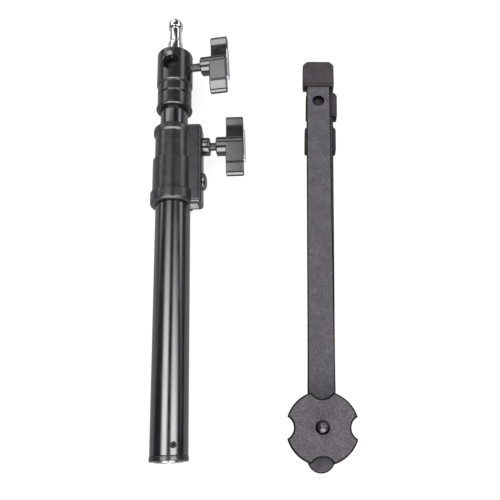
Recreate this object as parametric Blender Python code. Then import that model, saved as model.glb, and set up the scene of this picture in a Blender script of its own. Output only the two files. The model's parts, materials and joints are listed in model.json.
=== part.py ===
"""A light stand taken apart: a folded three-leg base, and the two-section column that screws onto it.

The base lies hub upwards with its legs along +Y. The column lies beside it, top end towards +Y, resting on
its foot ring and on its collar's lower flange. Sizes are in metres and +Z is up.
"""

import math

import bmesh
import bpy
from mathutils import Matrix, Vector

# Clearances
GAP = 0.0003                      # between two pieces that touch or turn on each other
BOOLEAN_OVERRUN = 0.002           # how far a cutter reaches past the face that it opens

# Facets
ROUND_STEPS = 40
SMALL_ROUND_STEPS = 20
CORNER_STEPS = 5

# Legs: flat steel bars stacked on one pivot, the lowest shortest
LEG_WIDTH = 0.0255
LEG_THICKNESS = 0.006
LEG_EDGE_ROUND = 0.0018
LEG_UNDERSIDE = 0.0045            # lowest leg above the floor, as its boot's sole is thick
LEG_SPACING = 0.003               # between one leg and the next, taken up by a washer
LEG_REACH_BOTTOM = 0.3215         # from the pivot to the end of the bar
MIDDLE_BOOT_CLEARANCE = 0.0053    # folded, from the lowest leg's boot to the middle leg's
TOP_BOOT_CLEARANCE = 0.0007       # folded, from the middle leg's boot to the top leg's
LEG_TOP_ASKEW = math.radians(0.08)
LEG_MIDDLE_ASKEW = math.radians(-0.5)
LEG_BOTTOM_ASKEW = math.radians(-0.35)
LEG_HOLE_RADIUS = 0.0063
LEG_HOLE_FROM_BOOT = 0.0172

# Rubber boots, all alike
BOOT_LENGTH = 0.031
BOOT_WALL = 0.004
BOOT_END_WALL = 0.003
BOOT_CORNER = 0.0045
BOOT_EDGE_ROUND = 0.0018
TAIL_PAD_RADIUS = 0.008
TAIL_PAD_CLEARANCE = 0.0028       # from the pad to the bolt's head

# Hub
STUD_RADIUS = 0.00476             # 3/8 inch
STUD_HEIGHT = 0.013               # above the hub plate
STUD_CHAMFER = 0.001
BOLT_HEAD_RADIUS = 0.014
BOLT_HEAD_HEIGHT = 0.0022
SLEEVE_RADIUS = 0.008
WASHER_RADIUS = 0.0115
HUB_PLATE_RADIUS = 0.0328
HUB_PLATE_THICKNESS = 0.007
HUB_PLATE_EDGE = 0.0008
HUB_COUNTERSINK = 0.0013
SCALLOP_RADIUS = 0.0111
SCALLOP_OUT = 0.0038              # from the plate's rim to a scallop's middle
SCALLOPS = 4

# Column, measured up from the plug's lower face
TUBE_RADIUS = 0.0175
TUBE_WALL = 0.0015
TUBE_PAST_STEP = 0.0002           # how far the tube runs past the collar's step, inside it
FOOT_RING_START = 0.001
FOOT_RING_HEIGHT = 0.0045
FOOT_RING_LIP = 0.0004            # how far the ring stands out from the tube
FOOT_RING_EDGE = 0.0006
PLUG_LENGTH = 0.032
PLUG_NOSE_RADIUS = 0.0127
SOCKET_DEPTH = 0.016
SOCKET_CHAMFER = 0.001
GRUB_SCREW_RADIUS = 0.0026
GRUB_SCREW_HEIGHT = 0.0145
GRUB_SCREW_LENGTH = 0.006
GRUB_SCREW_ROLL = math.radians(-68.0)
RISER_CLEARANCE = 0.0017          # between the two tubes, taken up by the guide
RISER_WALL = 0.0015
RISER_ABOVE_PLUG = 0.004
GUIDE_LENGTH = 0.022

# Collar
COLLAR_START = 0.251
LOWER_BODY_LENGTH = 0.0508        # with its flange, up to the step
UPPER_BODY_LENGTH = 0.0365        # with its flange, from the step
LOWER_BODY_WALL = 0.0036          # over the tube's radius
UPPER_BODY_WALL = 0.0026          # over the bush's radius
LOWER_FLANGE_LIP = 0.0019
LOWER_FLANGE_HEIGHT = 0.0137
LOWER_FLANGE_CHAMFER = 0.0015
TOP_FLANGE_LIP = 0.0018
TOP_FLANGE_HEIGHT = 0.008
TOP_FLANGE_CHAMFER = 0.002
STEP_CHAMFER = 0.001
BUSH_WALL = 0.0019
BUSH_LIP = 0.0015
BUSH_LIP_OUT = 0.0007
LUG_DEPTH = 0.0127                # from the tube's side to the lug's outer face
LUG_WALL = 0.0047                 # outside the clamp block and the pad
LUG_HALF_WIDTH = 0.0115
LUG_OVERRUN = 0.0022              # how far the lug runs past the collar's top
LUG_ROUND = 0.004
BLOCK_HALF_WIDTH = 0.0058
BLOCK_BELOW_STEP = 0.0093         # from the block's upper end to the collar's step
FIXING_SCREW_ABOVE_START = 0.0269
FIXING_SCREW_RADIUS = 0.0029
FIXING_SCREW_DEPTH = 0.0085
FIXING_HEAD_RADIUS = 0.0092
FIXING_HEAD_HEIGHT = 0.004

# Clamp on the collar
CLAMP_ABOVE_STEP = 0.0162
CLAMP_TRAVEL = 0.003
PAD_HALF_WIDTH = 0.006
PAD_LENGTH = 0.0234
NUT_RADIUS = 0.0095
NUT_HEIGHT = 0.0075
NUT_CHAMFER = 0.0008
CLAMP_SCREW_SHOWING = 0.0064      # from the nut to the handle

# Clamp screws and T-handles, the same on the collar and on the head
SCREW_RADIUS = 0.0045
SCREW_IN_HANDLE = 0.012
SCREW_END_CHAMFER = 0.0008
BOSS_RADIUS = 0.010
BOSS_LENGTH = 0.010
BOSS_CHAMFER = 0.001
WING_DEPTH = 0.0185               # along the screw
WING_THICKNESS = 0.010
HANDLE_LENGTH = 0.0705
WING_TIP_THICKNESS = 0.0085
WING_EDGE_ROUND = 0.0012
INSERT_LENGTH = 0.036
INSERT_WIDTH = 0.0075
INSERT_HEIGHT = 0.0016

# Head
HEAD_ABOVE_COLLAR = 0.0229
HEAD_LENGTH = 0.0696
HEAD_WALL = 0.0036                # of its lower part, over the riser's radius
HEAD_STEP = 0.0011                # how far its upper part and its rim stand out
HEAD_RIM_HEIGHT = 0.0035
HEAD_TOP_ROUND = 0.006
GROOVES_ABOVE_START = (0.0171, 0.0291)
GROOVE_WIDTH = 0.0014
GROOVE_DEPTH = 0.0007
RISER_IN_HEAD = 0.030
CROSS_BELOW_TOP = 0.0172          # from the head's top to the middle of its cross socket
CROSS_RADIUS = 0.00825
CROSS_CHAMFER = 0.001
HEAD_SCREW_SHOWING = 0.0106       # from the head to the handle
HEAD_TIP_START = -0.005            # from the head's axis, inside the cross socket
HEAD_TIP_LENGTH = 0.003
HEAD_TIP_RADIUS = 0.0038
HEAD_TIP_EDGE = 0.0006
HEAD_ROLL = math.radians(8.0)

# Spigot
SPIGOT_RADIUS = 0.0079            # 5/8 inch
SPIGOT_LENGTH = 0.048
SPIGOT_HEAD_LENGTH = 0.0135
SPIGOT_NECK_RADIUS = 0.0064
SPIGOT_BASE_LENGTH = 0.0178
SPIGOT_TIP_RADIUS = 0.0039
SPIGOT_TIP_LENGTH = 0.003
SPIGOT_SHOULDER_LENGTH = 0.003
SPIGOT_SHANK_RADIUS = 0.0048
SHANK_ABOVE_SOCKET = 0.00045      # from the shank's end to the cross socket

# Where the column lies, from the hub's axis, and how its handles stand
COLUMN_X = -0.1373
COLUMN_Y = -0.0298
COLUMN_YAW = math.radians(2.6)
HOVER = 0.0013                    # of the upright column's socket over the stud's end
CLAMP_HANDLE_TURN = math.radians(6.0)
HEAD_HANDLE_TURN = math.radians(8.0)

# Sizes that follow from those above
BOOT_TOP_WALL = LEG_SPACING - 2 * GAP
LEG_REACH_MIDDLE = LEG_REACH_BOTTOM + BOOT_LENGTH + MIDDLE_BOOT_CLEARANCE
LEG_REACH_TOP = LEG_REACH_MIDDLE + BOOT_LENGTH + TOP_BOOT_CLEARANCE
TAIL_REACH = BOLT_HEAD_RADIUS + TAIL_PAD_CLEARANCE + TAIL_PAD_RADIUS
LEG_PITCH = LEG_THICKNESS + LEG_SPACING
LEG_MIDDLE_UNDERSIDE = LEG_UNDERSIDE + LEG_PITCH
LEG_TOP_UNDERSIDE = LEG_UNDERSIDE + 2 * LEG_PITCH
HUB_PLATE_UNDERSIDE = LEG_UNDERSIDE + 3 * LEG_PITCH
HUB_PLATE_TOP = HUB_PLATE_UNDERSIDE + HUB_PLATE_THICKNESS
TUBE_START = FOOT_RING_START + FOOT_RING_HEIGHT + GAP
TUBE_BORE = TUBE_RADIUS - TUBE_WALL
FOOT_RING_RADIUS = TUBE_RADIUS + FOOT_RING_LIP
RISER_RADIUS = TUBE_BORE - RISER_CLEARANCE
RISER_START = PLUG_LENGTH + RISER_ABOVE_PLUG
BUSH_BORE = RISER_RADIUS + GAP
BUSH_RADIUS = BUSH_BORE + BUSH_WALL
BUSH_LIP_RADIUS = BUSH_RADIUS + BUSH_LIP_OUT
LOWER_BODY_RADIUS = TUBE_RADIUS + LOWER_BODY_WALL
LOWER_FLANGE_RADIUS = LOWER_BODY_RADIUS + LOWER_FLANGE_LIP
UPPER_BODY_RADIUS = BUSH_RADIUS + UPPER_BODY_WALL
TOP_FLANGE_RADIUS = UPPER_BODY_RADIUS + TOP_FLANGE_LIP
COLLAR_STEP = COLLAR_START + LOWER_BODY_LENGTH
COLLAR_TOP = COLLAR_STEP + UPPER_BODY_LENGTH
TUBE_TOP = COLLAR_STEP + TUBE_PAST_STEP
LUG_REACH = TUBE_RADIUS + LUG_DEPTH
BLOCK_BACK = LUG_REACH - LUG_WALL
BLOCK_END = COLLAR_STEP - BLOCK_BELOW_STEP
FIXING_SCREW_HEIGHT = COLLAR_START + FIXING_SCREW_ABOVE_START
CLAMP_HEIGHT = COLLAR_STEP + CLAMP_ABOVE_STEP
PAD_BACK = BLOCK_BACK - CLAMP_TRAVEL - GAP
CLAMP_HANDLE_START = LUG_REACH + GAP + NUT_HEIGHT + CLAMP_SCREW_SHOWING
SCREW_HOLE = SCREW_RADIUS + GAP
HEAD_START = COLLAR_TOP + HEAD_ABOVE_COLLAR
HEAD_TOP = HEAD_START + HEAD_LENGTH
HEAD_LOWER_RADIUS = RISER_RADIUS + HEAD_WALL
HEAD_RADIUS = HEAD_LOWER_RADIUS + HEAD_STEP
CROSS_HEIGHT = HEAD_TOP - CROSS_BELOW_TOP
HEAD_HANDLE_START = HEAD_RADIUS + HEAD_SCREW_SHOWING
SPIGOT_SHANK_LENGTH = CROSS_BELOW_TOP - CROSS_RADIUS - SHANK_ABOVE_SOCKET

# Finishes, as (colour, roughness, metallic)
LEG_GREY = ((0.12, 0.115, 0.13), 0.6, 0.3)
HUB_GREY = ((0.18, 0.17, 0.18), 0.55, 0.3)
RUBBER = ((0.075, 0.06, 0.07), 0.85, 0.0)
GLOSS_BLACK = ((0.012, 0.012, 0.015), 0.12, 0.4)
SATIN_BLACK = ((0.03, 0.03, 0.034), 0.35, 0.3)
HANDLE_BLACK = ((0.02, 0.02, 0.022), 0.3, 0.0)
CHROME = ((0.8, 0.8, 0.82), 0.08, 1.0)
ZINC = ((0.6, 0.6, 0.62), 0.3, 1.0)
BLACK_NYLON = ((0.03, 0.03, 0.03), 0.5, 0.0)
DARK_STEEL = ((0.1, 0.1, 0.105), 0.35, 0.8)

# Turns a shape raised from a plan so that it rises along +X, with its plan's x along the column
ALONG_SCREW = Matrix(((0, 0, 1, 0), (0, -1, 0, 0), (1, 0, 0, 0), (0, 0, 0, 1)))


def clear_scene():
    """Empties the startup scene."""
    for thing in list(bpy.data.objects):
        bpy.data.objects.remove(thing, do_unlink=True)
    for mesh in list(bpy.data.meshes):
        bpy.data.meshes.remove(mesh)


def make_material(name, finish):
    colour, roughness, metallic = finish
    material = bpy.data.materials.new(name)
    material.use_nodes = True
    shader = material.node_tree.nodes["Principled BSDF"]
    shader.inputs["Base Color"].default_value = (*colour, 1.0)
    shader.inputs["Roughness"].default_value = roughness
    shader.inputs["Metallic"].default_value = metallic
    material.diffuse_color = (*colour, 1.0)
    return material


def place(thing, parent, location=(0, 0, 0), rotation=None):
    """Parents an object with no offset of its own but this location and rotation."""
    thing.parent = parent
    thing.location = location
    if rotation is not None:
        thing.rotation_mode = "QUATERNION"
        thing.rotation_quaternion = rotation.to_quaternion()
    return thing


def make_frame(name, parent=None, location=(0, 0, 0), rotation=None):
    """An empty that carries the pieces which move together."""
    frame = bpy.data.objects.new(name, None)
    frame.empty_display_size = 0.02
    bpy.context.scene.collection.objects.link(frame)
    return place(frame, parent, location, rotation)


def make_object(name, shape, finish, parent):
    """Links the bmesh as an object, faces outwards and round sides smooth."""
    bmesh.ops.remove_doubles(shape, verts=shape.verts, dist=1e-7)
    loose = [edge for edge in shape.edges if not edge.link_faces]
    bmesh.ops.delete(shape, geom=loose, context="EDGES")
    bmesh.ops.recalc_face_normals(shape, faces=shape.faces)
    mesh = bpy.data.meshes.new(name)
    shape.to_mesh(mesh)
    shape.free()
    mesh.shade_smooth()
    mesh.set_sharp_from_angle(angle=math.radians(35))
    mesh.materials.append(make_material(name, finish))
    thing = bpy.data.objects.new(name, mesh)
    bpy.context.scene.collection.objects.link(thing)
    return place(thing, parent)


def quarter_turn(axis):
    return Matrix.Rotation(math.pi / 2, 3, axis)


def turned_shape(profile, steps, axis="Z"):
    """A profile of (radius, height) points, in order round its solid, turned about the axis.

    A profile whose two ends lie on the axis is left open there, and closes as it turns.
    """
    shape = bmesh.new()
    points = [shape.verts.new((radius, 0, height)) for radius, height in profile]
    edges = [shape.edges.new(pair) for pair in zip(points, points[1:])]
    if profile[0][0] > 0 or profile[-1][0] > 0:
        edges.append(shape.edges.new((points[-1], points[0])))
    bmesh.ops.spin(shape, geom=points + edges, cent=(0, 0, 0), axis=(0, 0, 1),
                   angle=2 * math.pi, steps=steps)
    bmesh.ops.remove_doubles(shape, verts=shape.verts, dist=1e-7)
    if axis == "X":
        # height becomes +X, as a screw through the collar's lug runs
        bmesh.ops.rotate(shape, verts=shape.verts, cent=(0, 0, 0), matrix=quarter_turn("Y"))
    return shape


def turned(name, profile, finish, parent, steps=ROUND_STEPS, axis="Z"):
    return make_object(name, turned_shape(profile, steps, axis), finish, parent)


def pin_profile(radius, start, end, chamfer=0.0):
    """A round bar from start to end, chamfered at its far end."""
    return [(0, start), (radius, start), (radius, end - chamfer), (radius - chamfer, end), (0, end)]


def ring_profile(inner, outer, start, end):
    return [(inner, start), (outer, start), (outer, end), (inner, end)]


def extruded_shape(outline, start, end):
    """A plan outline of (x, y) points raised from z = start to z = end."""
    shape = bmesh.new()
    floor = [shape.verts.new((x, y, start)) for x, y in outline]
    face = shape.faces.new(floor)
    raised = bmesh.ops.extrude_face_region(shape, geom=[face])
    moved = [item for item in raised["geom"] if isinstance(item, bmesh.types.BMVert)]
    bmesh.ops.translate(shape, verts=moved, vec=(0, 0, end - start))
    return shape


def extruded(name, outline, start, end, finish, parent):
    return make_object(name, extruded_shape(outline, start, end), finish, parent)


def box_outline(x_start, x_end, y_start, y_end):
    return [(x_start, y_start), (x_end, y_start), (x_end, y_end), (x_start, y_end)]


def arc(centre, radius, start, end, steps):
    """Points along an arc, its angles in radians."""
    angles = [start + (end - start) * step / steps for step in range(steps + 1)]
    return [(centre[0] + radius * math.cos(a), centre[1] + radius * math.sin(a)) for a in angles]


def bevel(thing, width, segments=2):
    modifier = thing.modifiers.new("rounded_edges", "BEVEL")
    modifier.width = width
    modifier.segments = segments
    modifier.limit_method = "ANGLE"
    modifier.angle_limit = math.radians(40)
    return thing


def combine(thing, other, operation):
    """Cuts another shape from this one, or joins it on, and hides that other shape."""
    other.hide_render = True
    other.display_type = "WIRE"
    modifier = thing.modifiers.new(other.name, "BOOLEAN")
    modifier.operation = operation
    modifier.object = other
    modifier.solver = "EXACT"
    return thing


def cut(thing, *others):
    for other in others:
        combine(thing, other, "DIFFERENCE")
    return thing


def join(thing, *others):
    for other in others:
        combine(thing, other, "UNION")
    return thing


def leg_outline(reach, tail):
    """A bar along +Y, square at its far end and round at its pivot end."""
    half = LEG_WIDTH / 2
    return [(half, reach), (-half, reach), *arc((0, -tail), half, math.pi, 2 * math.pi, ROUND_STEPS // 2)]


def make_leg(name, reach, underside, tail, parent):
    """One leg with its pivot hole, fixing hole and rubber boot."""
    steel = LEG_GREY
    top = underside + LEG_THICKNESS
    leg = extruded(name, leg_outline(reach, tail), underside, top, steel, parent)
    bevel(leg, LEG_EDGE_ROUND, 3)
    below, above = underside - BOOLEAN_OVERRUN, top + BOOLEAN_OVERRUN
    pivot = turned(name + "_pivot_cutter", pin_profile(SLEEVE_RADIUS + GAP, below, above), steel, parent)
    boot_end = reach + BOOT_END_WALL
    hole_shape = turned_shape(pin_profile(LEG_HOLE_RADIUS, below, above), SMALL_ROUND_STEPS)
    hole_y = boot_end - BOOT_LENGTH - LEG_HOLE_FROM_BOOT
    bmesh.ops.translate(hole_shape, verts=hole_shape.verts, vec=(0, hole_y, 0))
    cut(leg, pivot, make_object(name + "_hole_cutter", hole_shape, steel, parent))

    half = LEG_WIDTH / 2 + BOOT_WALL
    boot_start = boot_end - BOOT_LENGTH
    outline = [(half, boot_start), (half, boot_end - BOOT_CORNER), (half - BOOT_CORNER, boot_end),
               (BOOT_CORNER - half, boot_end), (-half, boot_end - BOOT_CORNER), (-half, boot_start)]
    boot = extruded(name + "_boot", outline, underside - LEG_UNDERSIDE, top + BOOT_TOP_WALL, RUBBER,
                    parent)
    bevel(boot, BOOT_EDGE_ROUND)
    pocket_half = LEG_WIDTH / 2 + GAP
    pocket = extruded(name + "_pocket_cutter",
                      box_outline(-pocket_half, pocket_half, boot_start - BOOT_LENGTH, reach + GAP),
                      underside - GAP, top + GAP, steel, parent)
    cut(boot, bevel(pocket, LEG_EDGE_ROUND, 3))
    return leg


def make_tail_pad(parent):
    """The rubber pad under the lowest leg's tail, as high as the boots' soles are thick."""
    profile = pin_profile(TAIL_PAD_RADIUS, 0, LEG_UNDERSIDE - GAP, STUD_CHAMFER)
    shape = turned_shape(profile, SMALL_ROUND_STEPS)
    bmesh.ops.translate(shape, verts=shape.verts, vec=(0, -TAIL_REACH, 0))
    make_object("tail_pad", shape, RUBBER, parent)


def hub_outline():
    """A circle with round scallops cut from its rim, the first on +X."""
    radius, bite = HUB_PLATE_RADIUS, SCALLOP_RADIUS
    offset = radius + SCALLOP_OUT
    half = math.acos((radius ** 2 + offset ** 2 - bite ** 2) / (2 * radius * offset))
    lean = math.atan2(radius * math.sin(half), radius * math.cos(half) - offset)
    sector = 2 * math.pi / SCALLOPS
    points = []
    for number in range(SCALLOPS):
        middle = number * sector
        centre = (offset * math.cos(middle), offset * math.sin(middle))
        points += arc(centre, bite, middle - lean, middle + lean - 2 * math.pi, 2 * CORNER_STEPS)[:-1]
        points += arc((0, 0), radius, middle + half, middle + sector - half, 2 * CORNER_STEPS)[:-1]
    return points


def make_hub(parent):
    """The scalloped plate, the bolt whose end is the stud, the sleeve, and the washers between the legs."""
    grey, steel, nylon = HUB_GREY, DARK_STEEL, BLACK_NYLON
    plate = extruded("hub_plate", hub_outline(), HUB_PLATE_UNDERSIDE, HUB_PLATE_TOP, grey, parent)
    bevel(plate, HUB_PLATE_EDGE)
    hole = STUD_RADIUS + GAP
    below, above = HUB_PLATE_UNDERSIDE - BOOLEAN_OVERRUN, HUB_PLATE_TOP + BOOLEAN_OVERRUN
    profile = [(0, below), (hole, below), (hole, HUB_PLATE_TOP - HUB_COUNTERSINK),
               (hole + HUB_COUNTERSINK, HUB_PLATE_TOP), (hole + HUB_COUNTERSINK, above), (0, above)]
    cut(plate, turned("hub_plate_cutter", profile, grey, parent, SMALL_ROUND_STEPS))

    head_top = LEG_UNDERSIDE - GAP
    head_bottom = head_top - BOLT_HEAD_HEIGHT
    stud_top = HUB_PLATE_TOP + STUD_HEIGHT
    profile = [(0, head_bottom), (BOLT_HEAD_RADIUS, head_bottom), (BOLT_HEAD_RADIUS, head_top),
               (STUD_RADIUS, head_top), (STUD_RADIUS, stud_top - STUD_CHAMFER),
               (STUD_RADIUS - STUD_CHAMFER, stud_top), (0, stud_top)]
    turned("hub_stud", profile, steel, parent, SMALL_ROUND_STEPS)
    sleeve = ring_profile(hole, SLEEVE_RADIUS, LEG_UNDERSIDE, HUB_PLATE_UNDERSIDE - GAP)
    turned("hub_sleeve", sleeve, steel, parent)
    names = ("hub_washer_bottom", "hub_washer_middle", "hub_washer_top")
    for number, name in enumerate(names):
        start = LEG_UNDERSIDE + LEG_THICKNESS + number * LEG_PITCH + GAP
        end = start + LEG_SPACING - 2 * GAP
        turned(name, ring_profile(SLEEVE_RADIUS + GAP, WASHER_RADIUS, start, end), nylon, parent)


def make_base():
    """The folded base, about the hub's axis at the floor."""
    base = make_frame("base")
    make_hub(base)
    askew = Matrix.Rotation(LEG_BOTTOM_ASKEW, 3, "Z")
    bottom = make_frame("leg_bottom_place", base, rotation=askew)
    make_leg("leg_bottom", LEG_REACH_BOTTOM, LEG_UNDERSIDE, TAIL_REACH, bottom)
    make_tail_pad(bottom)
    askew = Matrix.Rotation(LEG_MIDDLE_ASKEW, 3, "Z")
    middle = make_frame("leg_middle_pivot", base, rotation=askew)
    make_leg("leg_middle", LEG_REACH_MIDDLE, LEG_MIDDLE_UNDERSIDE, 0, middle)
    askew = Matrix.Rotation(LEG_TOP_ASKEW, 3, "Z")
    top = make_frame("leg_top_pivot", base, rotation=askew)
    make_leg("leg_top", LEG_REACH_TOP, LEG_TOP_UNDERSIDE, 0, top)
    return base


def make_tube(parent):
    """The outer tube with its foot ring, threaded end plug and the plug's grub screw."""
    zinc = ZINC
    walls = ring_profile(TUBE_BORE, TUBE_RADIUS, TUBE_START, TUBE_TOP)
    tube = turned("outer_tube", walls, GLOSS_BLACK, parent)
    ring_top = FOOT_RING_START + FOOT_RING_HEIGHT
    nose_hole = PLUG_NOSE_RADIUS + GAP
    profile = [(nose_hole, FOOT_RING_START), (FOOT_RING_RADIUS - FOOT_RING_EDGE, FOOT_RING_START),
               (FOOT_RING_RADIUS, FOOT_RING_START + FOOT_RING_EDGE), (FOOT_RING_RADIUS, ring_top),
               (nose_hole, ring_top)]
    turned("tube_foot_ring", profile, RUBBER, parent)

    socket = STUD_RADIUS + GAP
    body = TUBE_BORE - GAP
    profile = [(0, SOCKET_DEPTH), (socket, SOCKET_DEPTH), (socket, SOCKET_CHAMFER),
               (socket + SOCKET_CHAMFER, 0), (PLUG_NOSE_RADIUS, 0), (PLUG_NOSE_RADIUS, TUBE_START),
               (body, TUBE_START), (body, PLUG_LENGTH), (0, PLUG_LENGTH)]
    plug = turned("tube_plug", profile, zinc, parent)

    roll = make_frame("grub_screw_place", parent, (0, 0, GRUB_SCREW_HEIGHT),
                      Matrix.Rotation(GRUB_SCREW_ROLL, 3, "Z"))
    outer = TUBE_RADIUS - GAP
    inner = outer - GRUB_SCREW_LENGTH
    socket_depth = GRUB_SCREW_LENGTH / 2
    socket_radius = GRUB_SCREW_RADIUS / 2
    profile = [(0, inner), (GRUB_SCREW_RADIUS, inner), (GRUB_SCREW_RADIUS, outer), (socket_radius, outer),
               (socket_radius, outer - socket_depth), (0, outer - socket_depth)]
    turned("plug_grub_screw", profile, zinc, roll, SMALL_ROUND_STEPS, "X")
    hole = pin_profile(GRUB_SCREW_RADIUS + GAP, inner - GAP, TUBE_RADIUS + BOOLEAN_OVERRUN)
    cutter = turned("grub_screw_cutter", hole, zinc, roll, SMALL_ROUND_STEPS, "X")
    cut(tube, cutter)
    cut(plug, cutter)


def collar_profile():
    """The collar's outside: lower flange, lower body, step, upper body and top flange."""
    flange_top = COLLAR_START + LOWER_FLANGE_HEIGHT
    top_flange_start = COLLAR_TOP - TOP_FLANGE_HEIGHT
    return [
        (0, COLLAR_START),
        (LOWER_FLANGE_RADIUS - LOWER_FLANGE_CHAMFER, COLLAR_START),
        (LOWER_FLANGE_RADIUS, COLLAR_START + LOWER_FLANGE_CHAMFER),
        (LOWER_FLANGE_RADIUS, flange_top - STEP_CHAMFER),
        (LOWER_FLANGE_RADIUS - STEP_CHAMFER, flange_top),
        (LOWER_BODY_RADIUS, flange_top),
        (LOWER_BODY_RADIUS, COLLAR_STEP - STEP_CHAMFER),
        (LOWER_BODY_RADIUS - STEP_CHAMFER, COLLAR_STEP),
        (UPPER_BODY_RADIUS, COLLAR_STEP),
        (UPPER_BODY_RADIUS, top_flange_start),
        (TOP_FLANGE_RADIUS, top_flange_start),
        (TOP_FLANGE_RADIUS, COLLAR_TOP - TOP_FLANGE_CHAMFER),
        (TOP_FLANGE_RADIUS - TOP_FLANGE_CHAMFER, COLLAR_TOP),
        (0, COLLAR_TOP),
    ]


def x_cutter(name, radius, start, end, height, parent):
    """A round cutter along +X at a height on the column."""
    frame = make_frame(name + "_place", parent, (0, 0, height))
    return turned(name, pin_profile(radius, start, end), SATIN_BLACK, frame, SMALL_ROUND_STEPS, "X")


def make_collar(parent):
    """The casting round the tube's top, its bush, and the block and screw that fix it to the tube."""
    black, zinc = SATIN_BLACK, ZINC
    collar = turned("collar", collar_profile(), black, parent)
    lug = extruded("collar_lug_shape", box_outline(0, LUG_REACH, -LUG_HALF_WIDTH, LUG_HALF_WIDTH),
                   COLLAR_START, COLLAR_TOP + LUG_OVERRUN, black, parent)
    join(collar, bevel(lug, LUG_ROUND, 3))
    below, above = COLLAR_START - 2 * BOOLEAN_OVERRUN, COLLAR_TOP + 2 * BOOLEAN_OVERRUN
    seat, bush_seat = TUBE_RADIUS + GAP, BUSH_RADIUS + GAP
    lip_seat = BUSH_LIP_RADIUS + GAP
    profile = [(0, below), (seat, below), (seat, TUBE_TOP + GAP), (bush_seat, TUBE_TOP + GAP),
               (bush_seat, COLLAR_TOP), (lip_seat, COLLAR_TOP), (lip_seat, above), (0, above)]
    cut(collar, turned("collar_bore_cutter", profile, black, parent))

    pocket_half = BLOCK_HALF_WIDTH + GAP
    pocket = extruded("block_pocket_cutter", box_outline(0, BLOCK_BACK + GAP, -pocket_half, pocket_half),
                      below, BLOCK_END + GAP, black, parent)
    pad_half = PAD_HALF_WIDTH + GAP
    pad_start, pad_end = CLAMP_HEIGHT - PAD_LENGTH / 2, CLAMP_HEIGHT + PAD_LENGTH / 2
    pad_pocket = extruded("pad_pocket_cutter",
                          box_outline(0, PAD_BACK + CLAMP_TRAVEL + GAP, -pad_half, pad_half),
                          pad_start - GAP, pad_end + GAP, black, parent)
    outside = LUG_REACH + BOOLEAN_OVERRUN
    screw_way = x_cutter("clamp_screw_cutter", SCREW_HOLE, 0, outside, CLAMP_HEIGHT, parent)
    fixing_way = x_cutter("fixing_screw_cutter", FIXING_SCREW_RADIUS + GAP,
                          LUG_REACH - FIXING_SCREW_DEPTH - GAP, outside, FIXING_SCREW_HEIGHT, parent)
    cut(collar, pocket, pad_pocket, screw_way, fixing_way)

    bush_start = TUBE_TOP + 2 * GAP
    lip_start = COLLAR_TOP + GAP
    lip_end = lip_start + BUSH_LIP
    profile = [(BUSH_BORE, bush_start), (BUSH_RADIUS, bush_start), (BUSH_RADIUS, lip_start),
               (BUSH_LIP_RADIUS, lip_start), (BUSH_LIP_RADIUS, lip_end), (BUSH_BORE, lip_end)]
    bush = turned("collar_bush", profile, BLACK_NYLON, parent)
    cut(bush, pad_pocket)

    block = extruded("collar_clamp_block", box_outline(0, BLOCK_BACK, -BLOCK_HALF_WIDTH, BLOCK_HALF_WIDTH),
                     COLLAR_START, BLOCK_END, zinc, parent)
    cut(block, turned("block_seat_cutter", pin_profile(seat, below, above), zinc, parent), fixing_way)

    frame = make_frame("fixing_screw_place", parent, (0, 0, FIXING_SCREW_HEIGHT))
    tip, face = LUG_REACH - FIXING_SCREW_DEPTH, LUG_REACH + GAP
    dome = [(FIXING_HEAD_RADIUS * math.cos(a), face + FIXING_HEAD_HEIGHT * math.sin(a))
            for a in (math.pi / 2 * step / CORNER_STEPS for step in range(CORNER_STEPS + 1))]
    profile = [(0, tip), (FIXING_SCREW_RADIUS, tip), (FIXING_SCREW_RADIUS, face), *dome[:-1],
               (0, face + FIXING_HEAD_HEIGHT)]
    turned("collar_fixing_screw", profile, zinc, frame, SMALL_ROUND_STEPS, "X")


def wing_outline():
    """One wing of a T-handle seen along its screw: level with the boss's side, thinner at its tip."""
    half = HANDLE_LENGTH / 2
    top = BOSS_RADIUS
    tip_middle = top - WING_THICKNESS / 2
    tip = arc((half - WING_TIP_THICKNESS / 2, tip_middle), WING_TIP_THICKNESS / 2,
              -math.pi / 2, math.pi / 2, 2 * CORNER_STEPS)
    return [(0, top - WING_THICKNESS), *tip, (0, top)]


def make_handle(name, start, turn, parent):
    """A T-handle from its inner face outwards along +X, with the bright insert in its outer face.

    Its wings stand off the boss's two sides, one to each hand, so that either way round fits the thumb.
    """
    black = HANDLE_BLACK
    frame = make_frame(name + "_place", parent, (start, 0, 0), Matrix.Rotation(turn, 3, "X"))
    end = BOSS_LENGTH + WING_DEPTH
    profile = [(0, 0), (BOSS_RADIUS - BOSS_CHAMFER, 0), (BOSS_RADIUS, BOSS_CHAMFER),
               (BOSS_RADIUS, end - BOSS_CHAMFER), (BOSS_RADIUS - BOSS_CHAMFER, end), (0, end)]
    handle = turned(name, profile, black, frame, ROUND_STEPS, "X")
    for side, sign in (("near", -1), ("far", 1)):
        outline = [(sign * x, -sign * y) for x, y in wing_outline()]
        shape = extruded_shape(outline, BOSS_LENGTH, end)
        bmesh.ops.transform(shape, verts=shape.verts, matrix=ALONG_SCREW)
        wing = make_object(name + "_wing_" + side, shape, black, frame)
        join(handle, bevel(wing, WING_EDGE_ROUND))
    bore = pin_profile(SCREW_HOLE, -BOOLEAN_OVERRUN, SCREW_IN_HANDLE + GAP)
    cut(handle, turned(name + "_bore_cutter", bore, black, frame, SMALL_ROUND_STEPS, "X"))

    shape = insert_shape(end + GAP)
    make_object(name + "_insert", shape, CHROME, frame)
    return handle


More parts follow.
